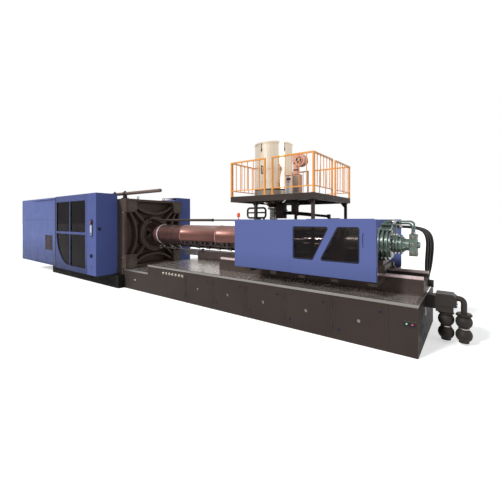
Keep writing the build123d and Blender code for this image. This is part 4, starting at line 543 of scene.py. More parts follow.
def grown(outline, distance):
    """A convex outline, given anticlockwise, with every side moved outwards."""
    count = len(outline)
    lines = []
    for i in range(count):
        (xa, za), (xb, zb) = outline[i], outline[(i + 1) % count]
        length = ((xb - xa) ** 2 + (zb - za) ** 2) ** 0.5
        nx, nz = (zb - za) / length, -(xb - xa) / length
        lines.append((nx, nz, nx * xa + nz * za + distance))
    corners = []
    for i in range(count):
        a1, b1, c1 = lines[i - 1]
        a2, b2, c2 = lines[i]
        det = a1 * b2 - a2 * b1
        corners.append(((c1 * b2 - c2 * b1) / det, (a1 * c2 - a2 * c1) / det))
    return corners


def round_corners(outline, radius, count=7):
    """The outline with each corner as an arc of points."""
    result = []
    total = len(outline)
    for i in range(total):
        corner = Vector(outline[i])
        before = (Vector(outline[i - 1]) - corner).normalized()
        after = (Vector(outline[(i + 1) % total]) - corner).normalized()
        half = before.angle(after) / 2
        middle = corner + (before + after).normalized() * (radius / sin(half))
        start = corner + before * (radius * cos(half) / sin(half)) - middle
        finish_at = corner + after * (radius * cos(half) / sin(half)) - middle
        a0 = atan2(start.y, start.x)
        a1 = atan2(finish_at.y, finish_at.x)
        turn = (a1 - a0 + pi) % (2 * pi) - pi
        for share in steps(0, 1, count):
            angle = a0 + turn * share
            result.append((middle.x + radius * cos(angle), middle.y + radius * sin(angle)))
    return result


# Clamp covers

COVER_FACE = 2.060
COVER_SEAM_Z = 2.600
COVER_SCREW_R = 0.012
COVER_EDGE_Z = (1.000, 2.300)
GRILLE_X = (-5.080, -4.310)
GRILLE_Z = (1.215, 1.865)
GRILLE_BARS = 9
GRILLE_BAR_H = 0.026
GRILLE_RIM = 0.020
GRILLE_PROUD = 0.005
FILTER_DEPTH = 0.026
FILTER_T = 0.004
FILTER_LAP = 0.030


def clamp_cover_details():
    low, high = BOX["clamp_covers"]
    screws = Shapes()
    rows = (low.z + 0.09, COVER_SEAM_Z - 0.05, COVER_SEAM_Z + 0.05, high.z - 0.15)
    for side in (-1, 1):
        face = side * COVER_FACE
        spots = places(steps(low.x + 0.08, high.x - 0.14, 8), [face], rows)
        spots += places([low.x + 0.08], [face], steps(*COVER_EDGE_Z, 4))
        for spot in spots:
            screws.button_screw(spot, (0, side, 0), COVER_SCREW_R)
    piece("cover_screws", "machine", "cover_blue", screws)

    grille = Shapes()
    filters = Shapes()
    x0, x1 = GRILLE_X
    z0, z1 = GRILLE_Z
    pitch = (z1 - z0) / (GRILLE_BARS + 1)
    half = GRILLE_BAR_H / 2
    for side in (-1, 1):
        y0, y1 = span(side, COVER_FACE, COVER_FACE + GRILLE_PROUD)
        inner = rectangle(x0, x1, z0, z1)
        grille.border(inner, grown(inner, GRILLE_RIM), y0, y1)
        for i in range(GRILLE_BARS):
            z = z0 + (i + 1) * pitch
            grille.block((x0, y0, z - half), (x1, y1, z + half), 0.002)
        y0, y1 = span(side, COVER_FACE - FILTER_DEPTH, COVER_FACE - FILTER_DEPTH + FILTER_T)
        filters.block((x0 - FILTER_LAP, y0, z0 - FILTER_LAP), (x1 + FILTER_LAP, y1, z1 + FILTER_LAP), 0.001)
    piece("grille_slats", "machine", "cover_blue", grille, "dark_brown")
    piece("grille_filter", "machine", "cover_blue", filters, "dark_brown")


# Safety doors

DOOR_FACE = 2.184
DOOR_T = 0.060
PANE_X = (-3.485, -0.825)
PANE_Z = (0.705, 3.360)
MULLION_X = -2.170
MULLION_W = 0.062
TRANSOM_Z = 2.060
TRANSOM_W = 0.092
GASKET_R = 0.007
EDGE_STRIP = 0.120
EDGE_STRIP_INSET = 0.010
DOOR_SCREW_R = 0.008
SCREW_SINK = 0.005


def pane_outline(left, low):
    """The (x, z) corners of one pane; the lower left one is a quarter of an ellipse."""
    x0, x1 = (PANE_X[0], MULLION_X - MULLION_W / 2) if left else (MULLION_X + MULLION_W / 2, PANE_X[1])
    z0, z1 = (PANE_Z[0], TRANSOM_Z - TRANSOM_W / 2) if low else (TRANSOM_Z + TRANSOM_W / 2, PANE_Z[1])
    if left and low:
        arc = [(x1 - (x1 - x0) * cos(angle), z1 - (z1 - z0) * sin(angle)) for angle in steps(0, pi / 2, 19)]
        return arc + [(x1, z1)]
    return rectangle(x0, x1, z0, z1)


def door_details(body, side):
    gaskets = Shapes()
    y = side * (DOOR_FACE - DOOR_T / 2 + GASKET_R)
    for left, low in ((True, True), (True, False), (False, True), (False, False)):
        outline = pane_outline(left, low)
        middle_x = sum(x for x, z in outline) / len(outline)
        middle_z = sum(z for x, z in outline) / len(outline)
        line = []
        for x, z in outline:
            line.append((x + copysign(GASKET_R, middle_x - x), y, z + copysign(GASKET_R, middle_z - z)))
        gaskets.tube(line, GASKET_R, 8, closed=True)
    piece(f"{body}_gaskets", body, "door_blue", gaskets, "dark_trim")

    # painted shade: a dark strip along the door's left edge, for the gap between door and cover
    low, high = BOX[body]
    seal = Shapes()
    y0, y1 = span(side, DOOR_FACE, DOOR_FACE - DOOR_T)
    seal.block((low.x - EDGE_STRIP, y0, low.z + EDGE_STRIP_INSET),
               (low.x, y1, high.z - EDGE_STRIP_INSET), 0.008)
    piece(f"{body}_edge_shade_strip", body, "door_blue", seal, "dark_trim")

    screws = Shapes()
    face = side * (DOOR_FACE - SCREW_SINK)
    for spot in places((low.x + 0.03, high.x - 0.05), [face], steps(low.z + 0.08, high.z - 0.08, 8)):
        screws.button_screw(spot, (0, side, 0), DOOR_SCREW_R)
    piece(f"{body}_screws", body, "door_blue", screws)


# Control strip and end covers

STRIP_X = -0.315
STRIP_FACE = -2.198
SHEET_Z = (1.947, 2.623)
STOP_Z = 2.490
STOP_SEAT_Z = (2.425, 2.605)
BAR_Z = (2.030, 2.410)
BAR_STEP = 0.008
KEY_Z = 2.086
KEY_SWITCH = [
    (0, 0.034), (0.004, 0.034), (0.008, 0.028), (0.009, 0.014), (0.007, 0.010), (0.007, 0),
]
KNOB_Z = 1.237
KNOB_TOP_Y = (-2.2375, -2.2285)
LOW_KNOB_Z = 0.819
POST_RIGHT = 0.030
END_SCREW_Y = (2.130, 1.420)
GLAND = (POST_RIGHT, -2.059, 2.260)
SWITCH_X = (-0.055, 0.020)
SWITCH_Y = (-1.470, -1.390)
SWITCH_H = 0.062
SWITCH_CAP = [
    (0, 0.022), (0.010, 0.022), (0.022, 0.012), (0.024, 0),
]


def strip_plate(shapes, half, z_span, radius, y0, y1):
    """A plate with round corners, between two places off the control strip's face."""
    corners = rectangle(STRIP_X - half, STRIP_X + half, *z_span)
    shapes.prism(round_corners(corners, radius), STRIP_FACE + y0, STRIP_FACE + y1)


def control_details():
    sheet = Shapes()
    strip_plate(sheet, 0.084, SHEET_Z, 0.082, -0.002, 0.001)
    piece("strip_sheet", "machine", "strip_metal", sheet, "end_blue")
    seat = Shapes()
    strip_plate(seat, 0.072, STOP_SEAT_Z, 0.030, -0.008, -0.001)
    seat.collar((STRIP_X, STRIP_FACE - 0.008, STOP_Z), FRONT, 0.050, 0.064, 0.006)
    piece("stop_seat", "machine", "strip_metal", seat, "dark_trim")
    bar = Shapes()
    z0, z1 = BAR_Z
    strip_plate(bar, 0.064, BAR_Z, 0.060, -0.014, -0.001)
    strip_plate(bar, 0.056, (z0 + BAR_STEP, z1 - BAR_STEP), 0.052, -0.018, -0.013)
    piece("strip_bar", "machine", "strip_metal", bar)
    key = Shapes()
    key.turned((STRIP_X, STRIP_FACE - 0.018, KEY_Z), FRONT, KEY_SWITCH, 32)
    piece("strip_key_switch", "machine", "strip_metal", key, "burnt_steel")

    knob = Shapes()
    y0, y1 = KNOB_TOP_Y
    knob.block((STRIP_X - 0.008, y0, KNOB_Z - 0.052), (STRIP_X + 0.008, y1, KNOB_Z + 0.052), 0.002)
    knob.collar((STRIP_X, -DOOR_FACE, KNOB_Z), FRONT, 0.061, 0.078, 0.006)
    knob.turned((STRIP_X, -DOOR_FACE, LOW_KNOB_Z), FRONT, cap(0.026, 0.004, 0.022, 0.006))
    piece("knob_pointer", "machine", "strip_metal", knob, "dark_trim")

    low, high = BOX["end_covers"]
    screws = Shapes()
    for side, x in ((-1, POST_RIGHT), (1, high.x)):
        for y in END_SCREW_Y:
            for z in steps(low.z + 0.12, high.z - 0.12, 7):
                screws.button_screw((x, side * y, z), RIGHT, 0.010)
    piece("end_cover_screws", "machine", "end_blue", screws)

    gland = Shapes()
    x, y, z = GLAND
    gland.turned((x, y, z), RIGHT, cap(0.072, 0.010, 0.068, 0.012, 0.056), 6)
    gland.turned((x + 0.026, y, z), RIGHT, cap(0.034, 0.016, 0.028, 0.020))
    piece("gland_nut", "machine", "strip_metal", gland, "dark_trim")

    switch = Shapes()
    x0, x1 = SWITCH_X
    y0, y1 = SWITCH_Y
    switch.block((x0, y0, high.z), (x1, y1, high.z + SWITCH_H), 0.008)
    switch.turned((-0.018, (y0 + y1) / 2, high.z + SWITCH_H - 0.002), UP, SWITCH_CAP, 16)
    piece("door_switch", "machine", "end_blue", switch, "dark_machine")

    seal = Shapes()
    for side in (-1, 1):
        y0, y1 = span(side, DOOR_FACE - 0.006, DOOR_FACE - 0.028)
        seal.block((low.x - 0.004, y0, low.z + 0.005), (low.x, y1, high.z - 0.005), 0.001)
    piece("post_seals", "machine", "end_blue", seal, "dark_trim")


# Platens and tie bars

TIE_Y = 1.090
TIE_DZ = 1.100
NUT_COVER_X = 0.662
NUT_SCREW_OFF = 0.135
RECESS_X = 0.600
RECESS_SCREW_R = 0.620
JACKS = [(-0.250, 2.590), (0.250, 1.470)]
JACK_FACE = 0.640
EYE_PLACE = (0.300, 3.420)
EYE_Y = 0.620
EYE_R = 0.046
EYE_RISE = 0.078
EYE_BOSS = [(0, 0.045), (0.018, 0.045), (0.024, 0.030), (0.040, 0.022), (0.040, 0)]
NIPPLE_X = 0.450
NIPPLE_Y = 1.355
NIPPLE_Z = (1.150, 2.900)
GUIDE_FOOT_T = 0.050
GUIDE_LOW = 3.578
GUIDE_BAR_Z = 3.640
GUIDE_R = 0.066


def platen_details():
    screws = Shapes()
    for x, y, z in places([NUT_COVER_X], (-TIE_Y, TIE_Y), (AXIS_Z - TIE_DZ, AXIS_Z + TIE_DZ)):
        offsets = (-NUT_SCREW_OFF, NUT_SCREW_OFF)
        for spot in places([x], [y + off for off in offsets], [z + off for off in offsets]):
            screws.cap_screw(spot, RIGHT, 0.020)
        screws.turned((x, y, z), RIGHT, cap(0.11, 0.008, 0.10, 0.012), 40)
    for spot in circle((RECESS_X, 0, AXIS_Z), "X", RECESS_SCREW_R, 16, pi / 16):
        screws.cap_screw(spot, RIGHT, 0.022)
    piece("nut_cover_screws", "machine", "machine_grey", screws)

    flange = Shapes()
    for y, z in JACKS:
        for spot in circle((JACK_FACE, y, z), "X", 0.060, 6):
            flange.cap_screw(spot, RIGHT, 0.009)
    piece("jack_flange_screws", "machine", "bright_steel", flange)

    eyes = Shapes()
    x, z = EYE_PLACE
    for y in (-EYE_Y, EYE_Y):
        eyes.turned((x, y, z), UP, EYE_BOSS)
        eyes.tube(circle((x, y, z + EYE_RISE), "X", EYE_R, 24), 0.013, 10, closed=True)
    piece("lifting_eyes", "machine", "machine_grey", eyes)

    nipples = Shapes()
    for side in (-1, 1):
        y = side * NIPPLE_Y
        for z in NIPPLE_Z:
            nipples.hex_bolt((NIPPLE_X, y, z), (0, side, 0), 0.016)
            nipples.turned((NIPPLE_X, y + side * 0.014, z), (0, side, 0),
                           cap(0.007, 0.012, 0.004, 0.018), 12)
    piece("grease_nipples", "machine", "port_steel", nipples)

    guide = Shapes()
    low, high = BOX["safety_bar_guide"]
    foot = low.z + GUIDE_FOOT_T
    guide.block(low, (high.x, high.y, foot), 0.006)
    guide.block((low.x + 0.030, -TIE_Y - 0.060, foot - 0.005),
                (high.x - 0.030, -TIE_Y + 0.060, GUIDE_LOW), 0.006)
    guide.collar((low.x + 0.020, -TIE_Y, GUIDE_BAR_Z), RIGHT, GUIDE_R, GUIDE_R + 0.014, 0.140, 0.004)
    top = GUIDE_BAR_Z + GUIDE_R
    guide.block((low.x + 0.050, -TIE_Y - 0.022, top + 0.008), (low.x + 0.130, -TIE_Y + 0.022, top + 0.046),
                0.006)
    for spot in places((low.x + 0.018, high.x - 0.018), (low.y + 0.025, high.y - 0.025), [foot]):
        guide.hex_bolt(spot, UP, 0.011)
    guide = piece("safety_guide", "machine", "machine_grey", guide, "dark_machine")
    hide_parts("safety_bar_guide")


# Barrel, heater bands and nozzle

BAND_LEFT = 0.965
BAND_RIGHT = 5.980
BAND_COUNT = 10
BAND_GAP = 0.022
BAND_R = 0.370
TERMINAL_HALF = (0.079, 0.094)
TERMINAL_Z = (1.577, 1.650)
TERMINAL_GLAND = [
    (0, 0.024), (0.014, 0.024), (0.016, 0.018), (0.034, 0.016), (0.036, 0.011), (0.036, 0),
]
RINGED_BANDS = 3
SOCKET_Z = (1.742, 1.828)
JOINT_RINGS_X = (2.546, 4.315)
HEAD_RING_X = 1.160
HEAD_SCREW_X = 0.929
HEAD_SCREW_R = 0.337
TIP_X = 0.612
TRAY_Y = (0.104, 0.204)
TRAY_Z = (1.565, 1.652)
ROD_CLAMP_X = 3.110
ROD_R = 0.0245


def band_places():
    """The (left, right) ends of every heater band."""
    width = (BAND_RIGHT - BAND_LEFT + BAND_GAP) / BAND_COUNT - BAND_GAP
    return [(BAND_LEFT + i * (width + BAND_GAP), BAND_LEFT + i * (width + BAND_GAP) + width)
            for i in range(BAND_COUNT)]


def shield(shapes, x0, x1):
    """A long sheet shield round the heater bands, with a rolled edge at each end."""
    length = x1 - x0
    shapes.turned((x0, 0, AXIS_Z), RIGHT, [
        (0, BAND_R + 0.001), (0, BAND_R + 0.009), (0.010, BAND_R + 0.013), (0.020, BAND_R + 0.009),
        (0.026, BAND_R + 0.006), (length - 0.026, BAND_R + 0.006), (length - 0.020, BAND_R + 0.009),
        (length - 0.010, BAND_R + 0.013), (length, BAND_R + 0.009), (length, BAND_R + 0.001),
    ], 96, closed=True)


def heater_details():
    rings = Shapes()
    covers = Shapes()
    glands = Shapes()
    sockets = Shapes()
    tray = Shapes()
    half_x, half_y = TERMINAL_HALF
    low_z, high_z = TERMINAL_Z
    socket_low, socket_high = SOCKET_Z
    for index, (x0, x1) in enumerate(band_places()):
        middle = (x0 + x1) / 2
        if index < RINGED_BANDS:
            for x in steps(x0 + 0.020, x1 - 0.032, 15):
                if x > HEAD_RING_X + 0.050:
                    rings.collar((x, 0, AXIS_Z), RIGHT, BAND_R - 0.004, BAND_R + 0.006, 0.014, 0.004)
        else:
            for x in (middle - 0.130, middle + 0.070):
                sockets.block((x, -0.352, socket_low), (x + 0.100, -0.250, socket_high), 0.008)
                sockets.block((x + 0.020, -0.366, socket_low + 0.018),
                              (x + 0.080, -0.350, socket_high - 0.016), 0.004)
        covers.block((middle - half_x, -half_y, low_z), (middle + half_x, half_y, high_z), 0.006)
        covers.block((middle - half_x + 0.012, -half_y - 0.005, low_z + 0.010),
                     (middle + half_x - 0.012, -half_y + 0.002, high_z - 0.014), 0.002)
        for x in (middle - 0.055, middle + 0.055):
            glands.button_screw((x, -half_y - 0.005, 1.612), FRONT, 0.006)
        glands.turned((middle, 0, low_z), DOWN, TERMINAL_GLAND, 6)
        tray.block((middle - 0.030, TRAY_Y[0] - 0.014, 1.590), (middle + 0.030, TRAY_Y[0] + 0.002, 1.630),
                   0.004)
    tray.block((BAND_LEFT + 0.100, TRAY_Y[0], TRAY_Z[0]), (BAND_RIGHT - 0.040, TRAY_Y[1], TRAY_Z[1]), 0.006)
    piece("shield_rings", "carriage", "copper_shield", rings, "burnt_steel")
    piece("terminal_covers", "carriage", "copper_shield", covers, "dark_machine")
    piece("terminal_glands", "carriage", "bright_steel", glands)
    piece("heater_sockets", "carriage", "copper_shield", sockets, "dark_machine")
    piece("heater_cable_tray", "carriage", "copper_shield", tray, "dark_machine")

    shields = Shapes()
    left, right = JOINT_RINGS_X
    shield(shields, left + 0.010, right - 0.020)
    shield(shields, right + 0.020, BAND_RIGHT - 0.002)
    piece("barrel_shields", "carriage", "copper_shield", shields)

    joints = Shapes()
    for x in JOINT_RINGS_X:
        joints.collar((x - 0.020, 0, AXIS_Z), RIGHT, BAND_R - 0.006, BAND_R + 0.013, 0.040, 0.006)
    piece("shield_joint_rings", "carriage", "copper_shield", joints, "nozzle_pink")

    # the head ring takes pale paint, a painted highlight in place of chrome
    head = Shapes()
    head.collar((HEAD_RING_X, 0, AXIS_Z), RIGHT, BAND_R - 0.004, BAND_R + 0.016, 0.052, 0.008, 64)
    piece("barrel_head_ring", "carriage", "bar_chrome", head, "painted_glint_band")
    sleeve = Shapes()
    sleeve.collar((BAND_LEFT, 0, AXIS_Z), RIGHT, BAND_R - 0.004, BAND_R + 0.004,
                  HEAD_RING_X - BAND_LEFT, 0.003, 64)
    piece("barrel_head_sleeve", "carriage", "copper_shield", sleeve, "nozzle_pink")
    tip = Shapes()
    tip.collar((TIP_X, 0, AXIS_Z), RIGHT, 0.060, 0.096, 0.046, 0.004, 32)
    tip.block((TIP_X + 0.008, -0.016, AXIS_Z + 0.088), (TIP_X + 0.038, 0.016, AXIS_Z + 0.116), 0.003)
    tip.cap_screw((TIP_X + 0.023, -0.016, AXIS_Z + 0.104), FRONT, 0.007)
    piece("nozzle_heater", "carriage", "copper_shield", tip, "burnt_steel")
    screws = Shapes()
    for x, y, z in circle((HEAD_SCREW_X, 0, AXIS_Z), "X", HEAD_SCREW_R, 12, pi / 12):
        screws.cap_screw((x, y, z), Vector((0, y, z - AXIS_Z)).normalized(), 0.012)
    piece("barrel_head_screws", "carriage", "bright_steel", screws)

    clamp = Shapes()
    y, z = JACKS[1]
    clamp.collar((ROD_CLAMP_X, y, z), RIGHT, ROD_R, 0.055, 0.060, 0.004, 32)
    clamp.block((ROD_CLAMP_X + 0.005, y - 0.020, z - 0.085), (ROD_CLAMP_X + 0.055, y + 0.020, z - 0.048),
                0.004)
    piece("rod_clamp", "carriage", "machine_grey", clamp, "dark_trim")


# Base, cabinet doors and deck

BASE_FACE = -1.320
BAY_LEFT = 3.910
BAY_W = 1.200
BAY_COUNT = 5
BAY_GAP = 0.027
PRESSING = (0.063, 0.075)
LOCK_INSET = 0.150
PORT_X = (2.860, 3.820)
PORT_COUNT = 7
PORT_Z = 0.810
PORT_NUT = [(0.010, 0.034), (0.022, 0.034), (0.024, 0.031), (0.024, 0.024)]
PORT_CAP = [(0, 0.022), (0.006, 0.022), (0.009, 0.018), (0.009, 0.010), (0.004, 0.008), (0.004, 0)]
DISPLAY_X = (10.145, 10.363)
DISPLAY_Z = (0.575, 0.675)
DISPLAY_PROUD = 0.012
LAMP_LENS = [(0, 0.018), (0.004, 0.018), (0.008, 0.014), (0.011, 0.008), (0.012, 0)]
TRIM_Y = 1.285
TRIM_HIGH = (2.100, 10.250, 1.008)
TRIM_LOW = (0.560, 1.880, 0.728)
HANDLE_Y = -0.497
HANDLE_Z = (0.618, 0.785)
HANDLE_FOOT = [(0, 0.011), (0.003, 0.011), (0.004, 0.007), (0.030, 0.007)]
PLATE_X = (1.135, 1.235)
PLATE_Z = (0.352, 0.392)
BENCH_X = (4.830, 9.990)
BENCH_BOLT = (0.530, 1.270)
RAIL_Y = (0.419, 0.519)
RAIL_Z = (1.402, 1.462)
WIPER_T = 0.022
DUCT_JOINT_Z = 1.127
DUCT_COVER_X = 2.150
DUCT_COVER_Z = (1.001, 1.400)


def cabinet_details():
    rim, sheet = PRESSING
    face = BASE_FACE
    for index in range(BAY_COUNT):
        body = f"cabinet_door_{index + 1}"
        low, high = BOX[body]
        x0 = BAY_LEFT + index * BAY_W + BAY_GAP
        x1 = x0 + BAY_W - 2 * BAY_GAP
        pressing = Shapes()
        pressing.border(rectangle(x0, x1, low.z, high.z, sheet), rectangle(x0, x1, low.z, high.z, rim),
                        face - 0.003, face + 0.001)
        piece(f"{body}_pressing", body, "base_grey", pressing)
        locks = Shapes()
        for x, z in ((x1 - LOCK_INSET, high.z - LOCK_INSET), (x0 + LOCK_INSET, low.z + LOCK_INSET)):
            locks.block((x - 0.030, face - 0.007, z - 0.030), (x + 0.030, face, z + 0.030), 0.003)
            locks.block((x - 0.018, face - 0.010, z - 0.005), (x + 0.018, face - 0.006, z + 0.005), 0.001)
        piece(f"{body}_locks", body, "base_grey", locks, "dark_trim")
        latch = Shapes()
        x = (x0 + x1) / 2
        z = (low.z + high.z) / 2
        latch.collar((x, face, z), FRONT, 0.0205, 0.030, 0.006, 0.001, 28)
        latch.block((x - 0.003, face - 0.0165, z - 0.016), (x + 0.003, face - 0.0135, z + 0.016), 0.001)
        piece(f"{body}_latch", body, "port_steel", latch)


def port_details():
    nuts = Shapes()
    caps = Shapes()
    for x in steps(*PORT_X, PORT_COUNT):
        nuts.turned((x, BASE_FACE, PORT_Z), FRONT, PORT_NUT, 6)
        caps.turned((x, BASE_FACE - 0.034, PORT_Z), FRONT, PORT_CAP, 20)
        nuts.collar((x, BASE_FACE, PORT_Z), FRONT, 0.036, 0.046, 0.005, 0.001, 28)
    piece("port_nuts", "machine", "port_steel", nuts)
    piece("port_caps", "machine", "port_steel", caps, "pale_grey")

    plate = Shapes()
    x0, x1 = PLATE_X
    z0, z1 = PLATE_Z
    front = BASE_FACE - 0.006
    plate.block((x0, front, z0), (x1, BASE_FACE, z1), 0.004)
    for x in (x0 + 0.015, x1 - 0.015):
        plate.button_screw((x, front, (z0 + z1) / 2), FRONT, 0.005)
    piece("step_terminal_plate", "machine", "port_steel", plate, "pale_grey")


def display_details():
    x0, x1 = DISPLAY_X
    z0, z1 = DISPLAY_Z
    face = BASE_FACE - DISPLAY_PROUD
    sheet = Shapes()
    sheet.block((x0 + 0.002, face - 0.002, z0 + 0.002), (x1 - 0.002, face + 0.001, z1 - 0.002), 0.001)
    piece("display_sheet", "machine", "port_steel", sheet, "dark_trim")
    bezel = Shapes()
    outer = rectangle(x0, x1, z0, z1)
    bezel.border(grown(outer, -0.008), outer, face - 0.005, face + 0.001)
    piece("display_bezel", "machine", "port_steel", bezel, "dark_machine")
    for colour, x in (("green", x0 + 0.060), ("red", x1 - 0.060)):
        lamp = Shapes()
        lamp.turned((x, face - 0.002, (z0 + z1) / 2), FRONT, LAMP_LENS, 28)
        piece(f"display_lamp_{colour}", "machine", "port_steel", lamp, f"lamp_{colour}")


def base_details():
    screws = Shapes()
    for (left, right, z), count in ((TRIM_HIGH, 20), (TRIM_LOW, 4)):
        for spot in places(steps(left, right, count), (-TRIM_Y, TRIM_Y), [z]):
            screws.button_screw(spot, UP, 0.009)
    piece("trim_screws", "machine", "trim_steel", screws)

    handle = Shapes()
    x = BOX["base_frame"][1].x
    z0, z1 = HANDLE_Z
    for z in (z0 + 0.022, z1 - 0.020):
        handle.turned((x, HANDLE_Y, z), RIGHT, HANDLE_FOOT, 16)
    handle.tube([(x + 0.030, HANDLE_Y, z) for z in steps(z0, z1, 5)], 0.009, 14)
    piece("end_handle", "machine", "port_steel", handle)

    bench = Shapes()
    y, z = BENCH_BOLT
    for x in steps(*BENCH_X, 14):
        if all(abs(x - arm) > 0.13 for arm in ARM_X):
            for side in (-1, 1):
                bench.hex_bolt((x, side * y, z), (0, side, 0), 0.014)
    piece("bench_bolts", "machine", "base_grey", bench)

    wipers = Shapes()
    low, high = BOX["carriage_frame"]
    z0, z1 = RAIL_Z
    for side in (-1, 1):
        y0, y1 = span(side, *RAIL_Y)
        for x in (low.x - WIPER_T, high.x):
            wipers.block((x, y0, z0), (x + WIPER_T, y1, z1), 0.004)
    piece("rail_wipers", "carriage", "machine_grey", wipers, "dark_trim")

    joints = Shapes()
    low, high = BOX["cable_duct"]
    for x in steps(low.x + 0.6, high.x - 0.6, 5):
        joints.block((x - 0.020, low.y - 0.004, DUCT_JOINT_Z),
                     (x + 0.020, high.y + 0.004, high.z + 0.004), 0.002)
    piece("duct_joints", "machine", "duct_grey", joints)
    cover = Shapes()
    z0, z1 = DUCT_COVER_Z
    cover.block((DUCT_COVER_X, low.y - 0.016, z0), (high.x - 0.010, low.y, z1), 0.004)
    for x in steps(DUCT_COVER_X + 0.550, high.x - 0.700, 4):
        cover.block((x - 0.004, low.y - 0.019, z0 + 0.019), (x + 0.004, low.y - 0.014, z1 - 0.020), 0.001)
    piece("duct_cover", "machine", "duct_grey", cover, "duct_brown")


# Injection guard and signal lamp

ARM_X = [6.407 + 0.792 * i for i in range(5)]
ARM_BOLT = (1.296, 1.290)
GUARD_DOOR_FACE = -1.350
GUARD_SPLIT = 7.745
GUARD_SCREW_Z = (1.375, 2.577)
WINDOW_Z = (1.712, 2.422)
WINDOW_1 = (7.808, 8.635, 8.273)
WINDOW_2 = (8.495, 8.879, 9.306)
WINDOW_ROUND = 0.022
WINDOW_RIM = 0.026
BEACON_H = 0.100


def guard_windows():
    z0, z1 = WINDOW_Z
    x0, x_high, x_low = WINDOW_1
    first = [(x0, z0), (x_low, z0), (x_high, z1), (x0, z1)]
    x_low, x_high, x1 = WINDOW_2
    second = [(x_low, z0), (x1, z0), (x1, z1), (x_high, z1)]
    return [first, second]


def guard_details():
    borders = Shapes()
    for outline in guard_windows():
        inner = round_corners(outline, WINDOW_ROUND)
        outer = round_corners(grown(outline, WINDOW_RIM), WINDOW_ROUND + WINDOW_RIM)
        borders.border(inner, outer, GUARD_DOOR_FACE - 0.004, GUARD_DOOR_FACE + 0.001)
    piece("guard_window_borders", "guard_door", "cover_blue", borders, "dark_trim")

    low, high = BOX["guard_panels"]
    screws = Shapes()
    for spot in places(steps(low.x + 0.06, high.x - 0.06, 10), [-BASE_FACE], GUARD_SCREW_Z):
        screws.button_screw(spot, BACK, 0.009)
    piece("guard_screws", "machine", "cover_blue", screws)
    door_screws = Shapes()
    for spot in places(steps(GUARD_SPLIT + 0.05, high.x - 0.05, 6), [GUARD_DOOR_FACE], GUARD_SCREW_Z):
        door_screws.button_screw(spot, FRONT, 0.009)
    piece("guard_door_screws", "guard_door", "cover_blue", door_screws)

    arms = Shapes()
    y, z = ARM_BOLT
    for arm in ARM_X:
        for x in (arm - 0.050, arm + 0.050):
            for side in (-1, 1):
                arms.hex_bolt((x, side * y, z), (0, side, 0), 0.014)
    piece("guard_arm_bolts", "machine", "base_grey", arms)

    low, high = BOX["beacon"]
    x = (low.x + high.x) / 2
    y = (low.y + high.y) / 2
    base = high.z - BEACON_H
    lens = Shapes()
    for z in steps(base + 0.012, base + 0.066, 5):
        lens.collar((x, y, z), UP, 0.040, 0.0435, 0.006, 0.002, 32)
    piece("beacon_lens", "machine", "lamp_orange", lens)
    seat = Shapes()
    seat.collar((x, y, base - 0.012), UP, 0.014, 0.044, 0.014, 0.003, 32)
    piece("beacon_seat", "machine", "machine_grey", seat, "dark_trim")


# Platform, hopper and dryer

PLATFORM_X = (5.790, 8.290)
PLATFORM_HALF = 1.280
PLATFORM_TOP = 3.240
RAILING_H = 0.954
RAILING_SPLIT = 0.095
RAILING_W = 0.038
FOOT_HALF = 0.055
FOOT_T = 0.010
POST_X = (6.550, 8.200)
POST_Y = 1.130
POST_ENDS_Z = (1.675, 3.075)
GUSSET_TOP = 3.090
GUSSET_LOW = 2.950
FEED_X = 6.400
HOPPER_R = 0.558
HOPPER_TOP = 4.800
HOPPER_RINGS = [(4.050, 0.003), (HOPPER_TOP - 0.034, 0.008)]
HOPPER_SEAM = radians(-150)
HOPPER_SEAM_LOW = 3.500
SKIRT_Z = (3.250, 3.454)
CLIP_ANGLES = (-24, -96, -168)
CLIP_Z = 4.620
CLIP_SPOTS = (-0.075, -0.03, 0.03, 0.10, 0.178)
GRIP_ANGLE = radians(-93)
GRIP_Z = 4.040
GRIP_FOOT = [(0, 0.016), (0.004, 0.016), (0.006, 0.009), (0.045, 0.009)]
CONE_FLANGE_R = 0.145
CONE_SHADE_PROFILE = [(2.981, 0.128), (2.983, 0.136), (3.086, 0.252), (3.088, 0.244)]
LID_R = 0.575
LID_GRIP_Y = -0.500
BLOWER = Vector((7.590, -0.560, 4.164))
BLOWER_FRONT = -0.652
BLOWER_SCREW_R = 0.148
BLOWER_HUB = [(0, 0.040), (0.056, 0.038), (0.064, 0.028), (0.066, 0)]
BLOWER_MOTOR = [
    (0, 0.060), (0.012, 0.060), (0.016, 0.092), (0.150, 0.092), (0.160, 0.080), (0.186, 0.074),
    (0.190, 0),
]
BLOWER_VANE = [(0.036, 0.0), (0.060, 0.12), (0.080, 0.31)]
DUCT_X = 7.460
DUCT_BANDS_Z = (3.560, 3.900, 4.080)
DUCT_SLEEVE = [(3.262, 0.082), (3.266, 0.086), (3.550, 0.086), (3.554, 0.082)]
DRYER_BOX = ((7.250, -0.800), (7.680, -0.640))
DRYER_BOX_H = 0.510
BOX_BUTTON = [(0, 0.012), (0.006, 0.011), (0.008, 0.008), (0.008, 0)]
LOOP_X = (5.746, 6.400)
LOOP_Y = -0.430
LOOP_Z = (2.660, 2.950)
LOOP_BAR_Z = 2.812
LOOP_FOOT_Z = 2.481
LOOP_TUBE = 0.028
TUBE_Y = -0.020
FEED_TUBE = [(6.500, TUBE_Y, 2.800), (7.060, TUBE_Y, 2.799), (7.700, TUBE_Y, 2.737)]
THIN_TUBE = [(7.640, TUBE_Y, 2.742), (8.130, TUBE_Y, 2.694)]
TUBE_CLAMP = (7.660, TUBE_Y, 2.740)
TUBE_SLOPE = (0.995, 0, -0.097)
ELBOW_X = (8.110, 8.180)
ELBOW_Z = (2.640, 2.748)
OUTLET_X = 8.440
VESSEL_X = (6.690, 6.925)
VESSEL_Y = (-0.350, -0.110)
VESSEL_Z = (2.640, 3.088)
FLASK = (7.284, -0.300)


